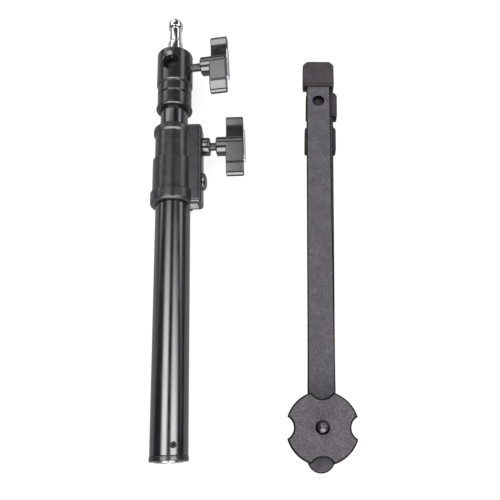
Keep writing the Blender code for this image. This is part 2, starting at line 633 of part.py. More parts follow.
def insert_shape(start):
    """The long oval insert on a handle's outer face, raised along +X and bowed."""
    half, end_radius = INSERT_LENGTH / 2, INSERT_WIDTH / 2
    straight = half - end_radius
    outline = [*arc((straight, 0), end_radius, -math.pi / 2, math.pi / 2, CORNER_STEPS),
               *arc((-straight, 0), end_radius, math.pi / 2, 3 * math.pi / 2, CORNER_STEPS)]
    shape = extruded_shape(outline, 0, INSERT_HEIGHT / 2)
    bmesh.ops.recalc_face_normals(shape, faces=shape.faces)
    top = [face for face in shape.faces if face.normal.z > 0.5]
    bmesh.ops.inset_region(shape, faces=top, thickness=end_radius * 0.6, depth=INSERT_HEIGHT / 2)
    bmesh.ops.transform(shape, verts=shape.verts, matrix=ALONG_SCREW)
    bmesh.ops.translate(shape, verts=shape.verts, vec=(start, 0, 0))
    return shape


def make_screw(name, tip, handle_start, frame):
    profile = [(0, tip), (SCREW_RADIUS - SCREW_END_CHAMFER, tip), (SCREW_RADIUS, tip + SCREW_END_CHAMFER),
               (SCREW_RADIUS, handle_start + SCREW_IN_HANDLE), (0, handle_start + SCREW_IN_HANDLE)]
    turned(name, profile, ZINC, frame, SMALL_ROUND_STEPS, "X")


def make_clamp(parent):
    """The collar's clamp: pad, nut, screw and T-handle on one line along +X."""
    frame = make_frame("clamp_axis", parent, (0, 0, CLAMP_HEIGHT))
    start = LUG_REACH + GAP
    hole = SCREW_HOLE
    profile = [(hole, start), (NUT_RADIUS, start), (NUT_RADIUS, start + NUT_HEIGHT - NUT_CHAMFER),
               (NUT_RADIUS - NUT_CHAMFER, start + NUT_HEIGHT), (hole, start + NUT_HEIGHT)]
    turned("clamp_nut", profile, SATIN_BLACK, frame, ROUND_STEPS, "X")
    make_screw("clamp_screw", PAD_BACK + GAP, CLAMP_HANDLE_START, frame)
    make_handle("clamp_handle", CLAMP_HANDLE_START, CLAMP_HANDLE_TURN, frame)
    pad = extruded("clamp_pad", box_outline(0, PAD_BACK, -PAD_HALF_WIDTH, PAD_HALF_WIDTH),
                   CLAMP_HEIGHT - PAD_LENGTH / 2, CLAMP_HEIGHT + PAD_LENGTH / 2, BLACK_NYLON, parent)
    seat = pin_profile(BUSH_BORE, COLLAR_START, COLLAR_TOP + BOOLEAN_OVERRUN)
    cut(pad, turned("pad_seat_cutter", seat, BLACK_NYLON, parent))


def head_profile():
    """The head's outside, bottom to top: rim, waist, two ring grooves, body and rounded top edge."""
    rim_top = HEAD_START + HEAD_RIM_HEIGHT
    points = [(0, HEAD_START), (HEAD_RADIUS - STEP_CHAMFER, HEAD_START),
              (HEAD_RADIUS, HEAD_START + STEP_CHAMFER), (HEAD_RADIUS, rim_top - STEP_CHAMFER),
              (HEAD_LOWER_RADIUS, rim_top)]
    lower, upper = (HEAD_START + rise for rise in GROOVES_ABOVE_START)
    for height, below, above in ((lower, HEAD_LOWER_RADIUS, HEAD_LOWER_RADIUS),
                                 (upper, HEAD_LOWER_RADIUS, HEAD_RADIUS)):
        floor = HEAD_LOWER_RADIUS - GROOVE_DEPTH
        points += [(below, height - GROOVE_WIDTH / 2), (floor, height - GROOVE_WIDTH / 4),
                   (floor, height + GROOVE_WIDTH / 4), (above, height + GROOVE_WIDTH / 2)]
    centre = (HEAD_RADIUS - HEAD_TOP_ROUND, HEAD_TOP - HEAD_TOP_ROUND)
    return points + arc(centre, HEAD_TOP_ROUND, 0, math.pi / 2, CORNER_STEPS) + [(0, HEAD_TOP)]


def make_riser(parent):
    """The riser tube with its guide, and the head with its cross socket, screw, handle and spigot."""
    riser_top = HEAD_START + RISER_IN_HEAD
    guide_top = RISER_START + GUIDE_LENGTH
    guide = ring_profile(RISER_RADIUS + GAP, TUBE_BORE - GAP, RISER_START, guide_top)
    turned("riser_guide", guide, BLACK_NYLON, parent)
    riser = make_frame("riser", parent)
    turned("riser_tube", ring_profile(RISER_RADIUS - RISER_WALL, RISER_RADIUS, RISER_START, riser_top),
           GLOSS_BLACK, riser)

    black = SATIN_BLACK
    rolled = make_frame("head_place", riser, rotation=Matrix.Rotation(-HEAD_ROLL, 3, "Z"))
    head = turned("head", head_profile(), black, rolled)
    bore = pin_profile(RISER_RADIUS + GAP, HEAD_START - BOOLEAN_OVERRUN, riser_top + GAP)
    shank = pin_profile(SPIGOT_SHANK_RADIUS + GAP, HEAD_TOP - SPIGOT_SHANK_LENGTH - GAP,
                        HEAD_TOP + BOOLEAN_OVERRUN)
    cut(head, turned("head_bore_cutter", bore, black, rolled),
        turned("spigot_hole_cutter", shank, black, rolled))
    cross_frame = make_frame("cross_socket_place", rolled, (0, 0, CROSS_HEIGHT), quarter_turn("Z"))
    reach = HEAD_RADIUS + BOOLEAN_OVERRUN
    # the socket's wall ends lower down at its sides, where the head curves away, and its chamfer starts there
    wall_end = math.sqrt(HEAD_RADIUS ** 2 - CROSS_RADIUS ** 2)
    wide = CROSS_RADIUS + CROSS_CHAMFER + (reach - wall_end)
    half = [(CROSS_RADIUS, wall_end - CROSS_CHAMFER), (wide, reach)]
    profile = [(0, -reach), (wide, -reach), (CROSS_RADIUS, CROSS_CHAMFER - wall_end), *half, (0, reach)]
    cut(head, turned("cross_socket_cutter", profile, black, cross_frame, ROUND_STEPS, "X"),
        x_cutter("head_screw_cutter", SCREW_HOLE, 0, reach, CROSS_HEIGHT, rolled))

    axis = make_frame("head_screw_axis", rolled, (0, 0, CROSS_HEIGHT))
    tip_end = HEAD_TIP_START + HEAD_TIP_LENGTH
    profile = [(0, HEAD_TIP_START), (HEAD_TIP_RADIUS - HEAD_TIP_EDGE, HEAD_TIP_START),
               (HEAD_TIP_RADIUS, HEAD_TIP_START + HEAD_TIP_EDGE), (HEAD_TIP_RADIUS, tip_end), (0, tip_end)]
    turned("head_screw_tip", profile, ZINC, axis, SMALL_ROUND_STEPS, "X")
    make_screw("head_screw", tip_end + GAP, HEAD_HANDLE_START, axis)
    make_handle("head_handle", HEAD_HANDLE_START, HEAD_HANDLE_TURN, axis)

    base = HEAD_TOP + GAP
    end = base + SPIGOT_LENGTH
    neck_start, neck_end = base + SPIGOT_BASE_LENGTH, end - SPIGOT_HEAD_LENGTH
    ease = SPIGOT_RADIUS - SPIGOT_NECK_RADIUS
    profile = [(0, base - SPIGOT_SHANK_LENGTH), (SPIGOT_SHANK_RADIUS, base - SPIGOT_SHANK_LENGTH),
               (SPIGOT_SHANK_RADIUS, base), (SPIGOT_RADIUS, base), (SPIGOT_RADIUS, neck_start - ease),
               (SPIGOT_NECK_RADIUS, neck_start), (SPIGOT_NECK_RADIUS, neck_end),
               (SPIGOT_RADIUS, neck_end + ease),
               (SPIGOT_RADIUS, end - SPIGOT_TIP_LENGTH - SPIGOT_SHOULDER_LENGTH),
               (SPIGOT_TIP_RADIUS, end - SPIGOT_TIP_LENGTH), (SPIGOT_TIP_RADIUS, end), (0, end)]
    turned("spigot", profile, CHROME, rolled, ROUND_STEPS)


def column_pose():
    """Where the column lies, as (foot, rotation): on its foot ring and on its collar's lower flange.

    The column's own +Z runs from its foot to its spigot, and its +X, towards the clamp handle, stays level.
    """
    ring_middle = FOOT_RING_START + FOOT_RING_HEIGHT / 2
    rise = LOWER_FLANGE_RADIUS - FOOT_RING_RADIUS
    run = COLLAR_START + LOWER_FLANGE_CHAMFER - ring_middle
    tilt = math.asin(rise / run)
    rotation = Matrix.Rotation(COLUMN_YAW, 3, "Z") @ Matrix.Rotation(tilt - math.pi / 2, 3, "X")
    height = FOOT_RING_RADIUS * math.cos(tilt) - FOOT_RING_START * math.sin(tilt)
    return Vector((COLUMN_X, COLUMN_Y, height)), rotation


def carrying_axis(foot, rotation):
    """The one axis about which the lying column swings to stand over the stud: (point, direction, angle).

    It is square to how the column's direction changes and to how its foot moves, and the point on it lies
    off the middle of the foot's path, by half that path over the tangent of half the angle. The column goes
    the long way round, clear of the base, and ends upright with its socket just above the stud.
    """
    lying = rotation @ Vector((0, 0, 1))
    upright = Vector((0, 0, 1))
    path = Vector((0, 0, HUB_PLATE_TOP + STUD_HEIGHT + HOVER)) - foot
    direction = (upright - lying).cross(path).normalized()
    start = (lying - lying.dot(direction) * direction).normalized()
    end = (upright - upright.dot(direction) * direction).normalized()
    angle = math.atan2(start.cross(end).dot(direction), start.dot(end)) % (2 * math.pi)
    point = foot + path / 2 + direction.cross(path) / (2 * math.tan(angle / 2))
    return point, direction, angle


def make_column(base):
    foot, rotation = column_pose()
    point, _, _ = carrying_axis(foot, rotation)
    swing = make_frame("column_swing", base, point)
    column = make_frame("column", swing, foot - point, rotation)
    make_tube(column)
    make_collar(column)
    make_clamp(column)
    make_riser(column)


def centre_on_footprint(base):
    """Moves the whole stand so that the origin is under the middle of its box, on the floor."""
    bpy.context.view_layer.update()
    graph = bpy.context.evaluated_depsgraph_get()
    low, high = Vector((math.inf,) * 3), Vector((-math.inf,) * 3)
    for thing in bpy.data.objects:
        if thing.type != "MESH" or thing.hide_render:
            continue
        evaluated = thing.evaluated_get(graph)
        mesh = evaluated.to_mesh()
        for vertex in mesh.vertices:
            corner = evaluated.matrix_world @ vertex.co
            low = Vector(map(min, low, corner))
            high = Vector(map(max, high, corner))
        evaluated.to_mesh_clear()
    base.location -= Vector(((low.x + high.x) / 2, (low.y + high.y) / 2, low.z))
    bpy.context.view_layer.update()


def main():
    clear_scene()
    base = make_base()
    make_column(base)
    centre_on_footprint(base)


main()
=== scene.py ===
"""A light stand taken apart: its folded base and its lying column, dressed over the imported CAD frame."""

import json
import math

import bmesh
import bpy
import numpy as np
from bpy.props import FloatProperty, FloatVectorProperty, IntProperty, PointerProperty
from mathutils import Matrix, Vector

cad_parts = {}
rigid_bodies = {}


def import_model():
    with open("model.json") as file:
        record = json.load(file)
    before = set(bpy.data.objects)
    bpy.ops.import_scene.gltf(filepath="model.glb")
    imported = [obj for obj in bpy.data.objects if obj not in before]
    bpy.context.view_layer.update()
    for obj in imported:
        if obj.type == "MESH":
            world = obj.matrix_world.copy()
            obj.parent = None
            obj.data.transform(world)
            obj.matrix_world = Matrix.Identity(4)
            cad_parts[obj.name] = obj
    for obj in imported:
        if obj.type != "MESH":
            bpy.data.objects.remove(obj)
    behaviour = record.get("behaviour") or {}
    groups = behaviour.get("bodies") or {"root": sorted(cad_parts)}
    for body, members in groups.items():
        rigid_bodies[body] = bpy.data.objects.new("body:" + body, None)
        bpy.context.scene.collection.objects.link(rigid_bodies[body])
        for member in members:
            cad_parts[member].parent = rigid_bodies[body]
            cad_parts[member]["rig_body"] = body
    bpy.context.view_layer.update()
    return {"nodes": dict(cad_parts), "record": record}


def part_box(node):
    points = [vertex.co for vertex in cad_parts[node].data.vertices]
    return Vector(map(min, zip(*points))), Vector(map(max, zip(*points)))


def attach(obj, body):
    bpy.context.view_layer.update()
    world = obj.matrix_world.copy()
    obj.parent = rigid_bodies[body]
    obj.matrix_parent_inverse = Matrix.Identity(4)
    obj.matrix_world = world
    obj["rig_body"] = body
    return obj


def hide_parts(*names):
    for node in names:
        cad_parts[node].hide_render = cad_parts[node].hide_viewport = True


bl_info = {
    "name": "Light Stand Looks",
    "version": (1, 0, 0),
    "blender": (4, 5, 0),
    "location": "View3D > Sidebar > Light Stand",
    "description": "Builds a light stand's tubes, castings, screws, legs and boots over its CAD frame",
    "category": "Object",
}

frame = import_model()


# Places ---------------------------------------------------------------------------------------------------

class Place:
    """A local frame: an origin and three axes, held as the columns of a 3 x 3 array."""

    def __init__(self, origin, axes=None):
        self.origin = np.asarray(origin, float)
        self.axes = np.eye(3) if axes is None else np.asarray(axes, float)

    def at(self, x=0.0, y=0.0, z=0.0):
        """The same axes from a point given in this frame."""
        return Place(self.origin + self.axes @ np.array([x, y, z]), self.axes)

    def rolled(self, angle, axis="Z"):
        """This frame turned by an angle about one of its own axes."""
        return Place(self.origin, self.axes @ np.array(Matrix.Rotation(angle, 3, axis)))

    def across(self):
        """A frame whose +Z is this one's +X, so that a turned shape's height runs along a screw."""
        return Place(self.origin, self.axes @ np.array(Matrix.Rotation(math.pi / 2, 3, "Y")))

    def world(self, points):
        return self.origin + points @ self.axes.T


def middle_of(node):
    low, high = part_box(node)
    return (low + high) / 2


HUB_MIDDLE = middle_of("hub_stud")
HUB = Place((HUB_MIDDLE.x, HUB_MIDDLE.y, 0.0))
HUB_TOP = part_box("hub_plate")[1].z
LEG_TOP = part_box("leg_bottom")[1].z
LEG_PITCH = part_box("leg_middle")[1].z - LEG_TOP
LEG_START, LEG_THICKNESS = 0.0045, 0.006
BOOT_RISE, BOOT_LENGTH, BOOT_PAST_LEG = 0.0024, 0.031, 0.003
HOLE_FROM_BOOT = 0.0172

# The column lies on its foot ring and on its collar's lower flange, its +Z from foot to spigot
FOOT_RADIUS, FOOT_RING_START, FOOT_RING_HEIGHT = 0.0179, 0.001, 0.0045
FLANGE_RADIUS, FLANGE_REST = 0.023, 0.2525
COLUMN_TILT = math.asin((FLANGE_RADIUS - FOOT_RADIUS)
                        / (FLANGE_REST - FOOT_RING_START - FOOT_RING_HEIGHT / 2))
COLUMN = Place(
    (HUB_MIDDLE.x - 0.1373, HUB_MIDDLE.y - 0.0298,
     FOOT_RADIUS * math.cos(COLUMN_TILT) - FOOT_RING_START * math.sin(COLUMN_TILT)),
    np.array(Matrix.Rotation(math.radians(2.6), 3, "Z")
             @ Matrix.Rotation(COLUMN_TILT - math.pi / 2, 3, "X")))
CLAMP = COLUMN.at(z=0.318)
HEAD = COLUMN.rolled(math.radians(-8.0))
HEAD_SCREW = HEAD.at(z=0.4136)
GRUB_SCREW = COLUMN.at(z=0.0145).rolled(math.radians(-68.0))


# Surfaces -------------------------------------------------------------------------------------------------

def closed_grid(rings, ends="poles"):
    """Vertices and faces of a tube of rings, an array of (rings, steps, 3).

    Neighbouring rings join in quads that wrap round. With poles, each end ring closes on its own middle
    point; with loop, the last ring joins the first, as on a washer; with open, both ends stay open.
    """
    count, steps = rings.shape[:2]
    index = np.arange(count * steps).reshape(count, steps)
    after = np.roll(index, -1, axis=1)
    if ends == "loop":
        low, high = index, np.roll(index, -1, axis=0)
        low_after, high_after = after, np.roll(after, -1, axis=0)
    else:
        low, high, low_after, high_after = index[:-1], index[1:], after[:-1], after[1:]
    faces = np.stack([low, low_after, high_after, high], axis=-1).reshape(-1, 4).tolist()
    points = rings.reshape(-1, 3)
    if ends == "poles":
        points = np.concatenate([points, rings[0].mean(0)[None], rings[-1].mean(0)[None]])
        first, last = count * steps, count * steps + 1
        faces += np.stack([after[0], index[0], np.full(steps, first)], -1).tolist()
        faces += np.stack([index[-1], after[-1], np.full(steps, last)], -1).tolist()
    return points, faces


def softened(corners, radius, steps=4, loop=False):
    """A profile whose corners are eased, as an array of points.

    Each corner P becomes the curve (1-s)^2 A + 2s(1-s) P + s^2 B, where A and B lie on its two sides at
    the radius or at 0.45 of the side, whichever is less. Ends of an open profile stay.
    """
    corners = np.asarray(corners, float)
    before, after = np.roll(corners, 1, axis=0), np.roll(corners, -1, axis=0)
    radius = np.broadcast_to(np.asarray(radius, float), len(corners)).copy()
    if not loop:
        before[0], after[-1] = corners[0], corners[-1]
        radius[0] = radius[-1] = 0.0
    sides = []
    for neighbour in (before, after):
        way = neighbour - corners
        length = np.maximum(np.linalg.norm(way, axis=1), 1e-12)
        sides.append(corners + way * (np.minimum(radius, 0.45 * length) / length)[:, None])
    s = np.linspace(0, 1, steps)[None, :, None]
    curve = (1 - s) ** 2 * sides[0][:, None] + 2 * s * (1 - s) * corners[:, None] + s ** 2 * sides[1][:, None]
    points = curve.reshape(-1, 2)
    keep = np.ones(len(points), bool)
    keep[1:] = np.linalg.norm(np.diff(points, axis=0), axis=1) > 1e-7
    return points[keep]


def turned_rings(profile, steps):
    """Rings of a profile of (radius, height) turned round +Z: (r cos a, r sin a, h)."""
    angle = np.linspace(0, 2 * math.pi, steps, endpoint=False)
    radius, height = profile[:, :1], profile[:, 1:]
    return np.stack([radius * np.cos(angle), radius * np.sin(angle), height + 0 * angle], axis=-1)


def threaded_rings(radius, start, end, pitch, depth, chamfer, steps, flip=False):
    """Rings of a threaded bar along +Z.

    The radius is R - d T(h / p - a / 2pi), where T is a triangle wave with its crest and root flattened,
    and it is held under a cone at the bar's far end, or at both ends.
    """
    height = np.linspace(start, end, max(int((end - start) / pitch * 10), 8))[:, None]
    angle = np.linspace(0, 2 * math.pi, steps, endpoint=False)[None, :]
    phase = np.mod(height / pitch - angle / (2 * math.pi), 1.0)
    wave = np.clip(np.abs(2 * phase - 1) * 1.4 - 0.2, 0, 1)
    size = radius - depth * wave
    size = np.minimum(size, radius - chamfer + (end - height))
    if flip:
        size = np.minimum(size, radius - chamfer + (height - start))
    return np.stack([size * np.cos(angle), size * np.sin(angle), height + 0 * angle], axis=-1)


def make_mesh(name, points, faces, place, smooth_angle=35.0):
    """A mesh object at the origin, its place in its mesh, its faces outwards and its round sides smooth."""
    mesh = bpy.data.meshes.new(name)
    mesh.from_pydata(place.world(np.asarray(points)).tolist(), [], faces)
    return finish_mesh(name, mesh, smooth_angle)


def finish_mesh(name, mesh, smooth_angle=35.0, weld=1e-7, recalculate=True):
    shape = bmesh.new()
    shape.from_mesh(mesh)
    bmesh.ops.remove_doubles(shape, verts=shape.verts, dist=weld)
    bmesh.ops.dissolve_degenerate(shape, edges=shape.edges, dist=weld)
    if recalculate:
        bmesh.ops.recalc_face_normals(shape, faces=shape.faces)
    shape.to_mesh(mesh)
    shape.free()
    mesh.shade_smooth()
    mesh.set_sharp_from_angle(angle=math.radians(smooth_angle))
    thing = bpy.data.objects.new(name, mesh)
    bpy.context.scene.collection.objects.link(thing)
    return thing


def dress(thing, material, body, slot, *nodes):
    """Gives a piece its material and body, and hides the CAD nodes that it stands for; its slot argument is
    not used.
    """
    thing.data.materials.clear()
    thing.data.materials.append(material)
    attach(thing, body)
    if nodes:
        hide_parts(*nodes)
    return thing


def combined(thing, joined=(), cut=(), smooth_angle=32.0):
    """Joins solids to this one and cuts others from it, keeps the result and removes them."""
    for others, operation in ((joined, "UNION"), (cut, "DIFFERENCE")):
        for other in others:
            modifier = thing.modifiers.new(other.name, "BOOLEAN")
            modifier.operation, modifier.object, modifier.solver = operation, other, "EXACT"
    bpy.context.view_layer.update()
    graph = bpy.context.evaluated_depsgraph_get()
    mesh = bpy.data.meshes.new_from_object(thing.evaluated_get(graph))
    name = thing.name
    for item in (*joined, *cut, thing):
        bpy.data.objects.remove(item)
    return flat_faces_first(finish_mesh(name, mesh, smooth_angle, 1e-6, False))


def flat_faces_first(thing):
    """Lets the large flat faces set the normals along their edges."""
    modifier = thing.modifiers.new("flat_faces_first", "WEIGHTED_NORMAL")
    modifier.keep_sharp = True
    modifier.weight = 90
    return thing


def turned(name, corners, place, ease, steps=96, ends="poles", rows=0.0):
    """A turned piece from the corners of its profile, eased by a radius, its long sides split by rows."""
    profile = softened(corners, ease, loop=ends == "loop")
    if rows:
        profile = split_long(profile, rows)
    points, faces = closed_grid(turned_rings(profile, steps), ends)
    return make_mesh(name, points, faces, place)


def split_long(profile, length):
    """The same profile with each side longer than a length split evenly."""
    points = [profile[:1]]
    for start, end in zip(profile[:-1], profile[1:]):
        count = max(int(np.linalg.norm(end - start) / length), 1)
        points.append(start + (end - start) * (np.arange(1, count + 1) / count)[:, None])
    return np.concatenate(points)


def rounded_outline(half_x, half_y, corner, steps=6):
    """Points round a rectangle with rounded corners, as (corner count x steps, 2)."""
    corner = min(corner, half_x * 0.999, half_y * 0.999)
    angle = np.linspace(0, math.pi / 2, steps)
    quarters = []
    for turn, (x, y) in enumerate(((1, 1), (-1, 1), (-1, -1), (1, -1))):
        a = angle + turn * math.pi / 2
        quarters.append(np.stack([x * (half_x - corner) + corner * np.cos(a),
                                  y * (half_y - corner) + corner * np.sin(a)], 1))
    return np.concatenate(quarters)


def bar(name, place, x, y, z, corner, ease, steps=6):
    """A block between the pairs x, y and z, its sides rounded by corner and its two ends by ease.

    Near an end the outline shrinks by e (1 - sin t) at a depth of e (1 - cos t).
    """
    t = np.linspace(0, math.pi / 2, steps)
    depth, inset = ease * (1 - np.cos(t)), ease * (1 - np.sin(t))
    heights = np.concatenate([z[0] + depth, z[1] - depth[::-1]])
    insets = np.concatenate([inset, inset[::-1]])
    middle = np.array([(x[0] + x[1]) / 2, (y[0] + y[1]) / 2])
    rings = []
    for height, less in zip(heights, insets):
        outline = rounded_outline((x[1] - x[0]) / 2 - less, (y[1] - y[0]) / 2 - less,
                                  max(corner - less, 1e-5), steps) + middle
        rings.append(np.column_stack([outline, np.full(len(outline), height)]))
    points, faces = closed_grid(np.array(rings))
    return make_mesh(name, points, faces, place)


def moved_in(outline):
    """A function of a distance e that gives an outline moved in by it.

    Each point P moves by e (n1 + n2) / (1 + n1 . n2), so that the sides stay parallel.
    """
    outline = np.asarray(outline, float)
    along = np.roll(outline, -1, axis=0) - outline
    along /= np.linalg.norm(along, axis=1)[:, None]
    after = np.stack([-along[:, 1], along[:, 0]], 1)
    before = np.roll(after, 1, axis=0)
    inwards = (before + after) / (1 + (before * after).sum(1))[:, None]
    return lambda less: outline + inwards * less


def plate(name, place, outline_at, start, end, ease, steps=6):
    """A plate between two heights, its edges rounded; outline_at gives its outline moved in by a distance."""
    t = np.linspace(0, math.pi / 2, steps)
    depth, inset = ease * (1 - np.cos(t)), ease * (1 - np.sin(t))
    heights = np.concatenate([start + depth, end - depth[::-1]])
    outlines = [outline_at(less) for less in np.concatenate([inset, inset[::-1]])]
    rings = np.array([np.column_stack([outline, np.full(len(outline), height)])
                      for outline, height in zip(outlines, heights)])
    points, faces = closed_grid(rings, "open")
    count, last = rings.shape[1], (len(rings) - 1) * rings.shape[1]
    faces += [list(range(count))[::-1], list(range(last, last + count))]
    return make_mesh(name, points, faces, place)


def arc(centre, radius, start, end, steps):
    angle = np.linspace(start, end, steps)
    return np.stack([centre[0] + radius * np.cos(angle), centre[1] + radius * np.sin(angle)], 1)


def threaded(name, place, radius, start, end, pitch, depth, chamfer=0.0008, steps=48, flip=False):
    points, faces = closed_grid(threaded_rings(radius, start, end, pitch, depth, chamfer, steps, flip))
    return make_mesh(name, points, faces, place, 60.0)


def refined(node, name, smooth_angle=38.0):
    """A welded copy of a CAD solid with smooth round sides and flat flats, to stand in its place."""
    mesh = frame["nodes"][node].data.copy()
    mesh.name = name
    if mesh.attributes.get("custom_normal"):
        mesh.attributes.remove(mesh.attributes["custom_normal"])
    thing = finish_mesh(name, mesh, smooth_angle, 2e-6, False)
    return flat_faces_first(thing)


# Shader maths ---------------------------------------------------------------------------------------------

class Value:
    """A node socket whose Python operators add Math nodes."""

    def __init__(self, graph, socket):
        self.graph, self.socket = graph, socket

    def math(self, operation, *others, clamp=False):
        node = self.graph.node("ShaderNodeMath", {"operation": operation, "use_clamp": clamp},
                               {0: self, **{n + 1: other for n, other in enumerate(others)}})
        return Value(self.graph, node.outputs[0])

    def __add__(self, other):
        return self.math("ADD", other)

    def __sub__(self, other):
        return self.math("SUBTRACT", other)

    def __mul__(self, other):
        return self.math("MULTIPLY", other)

    def __truediv__(self, other):
        return self.math("DIVIDE", other)

    def __rsub__(self, other):
        return (self * -1.0).math("ADD", other)

    __radd__, __rmul__ = __add__, __mul__

    def step(self, low, high):
        """0 below low, 1 above high, and a smooth rise between."""
        node = self.graph.node("ShaderNodeMapRange", {"interpolation_type": "SMOOTHSTEP", "clamp": True},
                               {"Value": self, "From Min": low, "From Max": high})
        return Value(self.graph, node.outputs["Result"])


class Graph:
    """A node tree and the one method that adds its nodes."""

    def __init__(self, tree):
        self.tree = tree
        tree.nodes.clear()

    def node(self, kind, settings=None, inputs=None):
        """Adds a node, sets its settings, then fills its sockets by number or name."""
        node = self.tree.nodes.new(kind)
        for name, value in (settings or {}).items():
            setattr(node, name, value)
        for key, value in (inputs or {}).items():
            socket = node.inputs[key]
            if isinstance(value, Value):
                self.tree.links.new(value.socket, socket)
            else:
                socket.default_value = value
        return node

    def out(self, kind, output=0, settings=None, inputs=None):
        return Value(self, self.node(kind, settings, inputs).outputs[output])

    def object_coordinates(self, scale=(1.0, 1.0, 1.0), place=None):
        """Object coordinates, turned to a place's axes first and then stretched."""
        point = self.out("ShaderNodeTexCoord", "Object")
        if place is not None:
            turn = Matrix(place.axes.T.tolist()).to_euler()
            shift = -(place.axes.T @ place.origin)
            point = self.out("ShaderNodeMapping", inputs={"Vector": point, "Rotation": tuple(turn),
                                                          "Location": tuple(shift)})
        return self.out("ShaderNodeMapping", inputs={"Vector": point, "Scale": scale})

    def noise(self, scale, detail=2.0, roughness=0.5, point=None):
        """Noise over Object coordinates, or over a stretched point of them."""
        return self.out("ShaderNodeTexNoise", "Fac",
                        inputs={"Vector": point or self.object_coordinates(), "Scale": scale,
                                "Detail": detail, "Roughness": roughness})

    def blend(self, factor, first, second):
        node = self.node("ShaderNodeMix", {"data_type": "RGBA"},
                         {"Factor": factor, 6: first, 7: second})
        return Value(self, node.outputs[2])


def colour(value, factor=1.0):
    return (*(min(channel * factor, 1.0) for channel in value[:3]), 1.0)


def new_material(name, base, settings=None, roughness=0.5, metallic=0.0, bump=None, depth=0.0):
    """A Principled material; base, roughness and metallic are numbers or links, bump is a height."""
    material = bpy.data.materials.new(name)
    material.use_nodes = True
    graph = Graph(material.node_tree)
    base, roughness, metallic, bump = (item(graph) if callable(item) else item
                                       for item in (base, roughness, metallic, bump))
    inputs = {"Base Color": base, "Roughness": roughness, "Metallic": metallic, **(settings or {})}
    if bump is not None:
        inputs["Normal"] = graph.out("ShaderNodeBump",
                                     inputs={"Height": bump, "Strength": 1.0, "Distance": depth})
    shader = graph.out("ShaderNodeBsdfPrincipled", inputs=inputs)
    graph.node("ShaderNodeOutputMaterial", inputs={"Surface": shader})
    return material


def painted_edge_shade(g, coat, tone, top, pitch=None):
    """A coat with painted shade: its rounded edges below its top turn near black; with a pitch, the top
    repeats up the stack.
    """
    split = g.node("ShaderNodeSeparateXYZ", inputs={0: g.object_coordinates()})
    height = Value(g, split.outputs[2]) - top
    if pitch:
        height = (height + (10 * pitch - 0.0008)).math("MODULO", pitch) - (pitch - 0.0008)
    # painted shade: the coat blends to near black a little below the top
    return g.blend(height.step(-0.0003, -0.00004), colour(tone, 0.03), coat)


def textured_coat(name, tone, roughness=0.55, grain=1500.0, depth=0.00006, flecks=0.35, top=None, pitch=None):
    """A powder coat: fine grain, soft mottling, small pale flecks, and painted shade on the rounded edges
    below its top.
    """
    def base(g):
        grains = g.noise(grain * 0.6).step(0.38, 0.62)
        mottled = g.blend(g.noise(110.0, 3.0).step(0.3, 0.7), colour(tone, 0.92), colour(tone, 1.2))
        mottled = g.blend(grains * 0.7, mottled, colour(tone, 0.55))
        speck = g.noise(520.0, 1.0).step(0.64, 0.74) * flecks
        coat = g.blend(speck, mottled, colour(tone, 2.4))
        # painted shade on the rounded edges below the top, when a top is given
        return coat if top is None else painted_edge_shade(g, coat, tone, top, pitch)

    def rough(g):
        return g.noise(420.0) * 0.14 + (roughness - 0.07)

    def height(g):
        return g.noise(grain) + g.noise(260.0, 1.0) * 0.6
    return new_material(name, base, {"Specular IOR Level": 0.12}, rough, 0.0, height, depth)


def gloss_tube(name, tone, place):
    """A polished black tube: faint drawing lines along it, and a little haze and dust."""
    def base(g):
        point = g.object_coordinates((1.0, 1.0, 0.02), place)
        return g.blend(g.noise(700.0, point=point).step(0.35, 0.7), colour(tone, 0.8), colour(tone, 1.5))

    def rough(g):
        lines = g.noise(900.0, point=g.object_coordinates((1.0, 1.0, 0.015), place))
        return lines * 0.06 + g.noise(45.0, 3.0).step(0.35, 0.75) * 0.05 + 0.11

    def height(g):
        return g.noise(500.0, 1.0, point=g.object_coordinates((1.0, 1.0, 0.02), place))
    return new_material(name, base, {"Specular IOR Level": 1.0, "IOR": 1.7}, rough, 0.0, height, 0.000008)


def satin_casting(name, tone, roughness=0.2, specular=0.8, grain=1100.0, depth=0.00003):
    """A satin black coat over a casting: small waves, fine grain and slightly shinier high spots."""
    def base(g):
        return g.blend(g.noise(120.0, 3.0).step(0.3, 0.75), colour(tone, 0.8), colour(tone, 1.35))

    def rough(g):
        return g.noise(150.0, 3.0) * 0.2 + (roughness - 0.1)

    def height(g):
        return g.noise(grain) * 0.35 + g.noise(150.0) * 1.6
    return new_material(name, base, {"Specular IOR Level": specular, "IOR": 1.55}, rough, 0.0, height, depth)


def moulded(name, tone, roughness=0.7, grain=1300.0, depth=0.00005, specular=0.4, top=None, pitch=None):
    """Moulded rubber or plastic: fine mould grain, paler scuffs and a dusty bloom; with a top, painted shade
    on the rounded edges below it.
    """
    def base(g):
        bloom = g.noise(75.0, 4.0, 0.6).step(0.4, 0.72)
        rubber = g.blend(bloom, colour(tone, 0.88), colour(tone, 1.25))
        # painted shade on the rounded edges below the top, when a top is given
        return rubber if top is None else painted_edge_shade(g, rubber, tone, top, pitch)

    def rough(g):
        return g.noise(180.0, 3.0) * 0.2 + (roughness - 0.1)

    def height(g):
        return g.noise(grain)
    return new_material(name, base, {"Specular IOR Level": specular}, rough, 0.0, height, depth)


def plated(name, tone, roughness=0.12, haze=0.06, wear=0.85, depth=0.00001):
    """Plated steel: bright, with light handling haze and fine polishing marks."""
    def base(g):
        return g.blend(g.noise(140.0, 3.0).step(0.45, 0.75), colour(tone), colour(tone, wear))

    def rough(g):
        return g.noise(380.0, 3.0) * haze + roughness

    def height(g):
        return g.noise(900.0)
    return new_material(name, base, None, rough, 1.0, height, depth)


FINISHES = {}


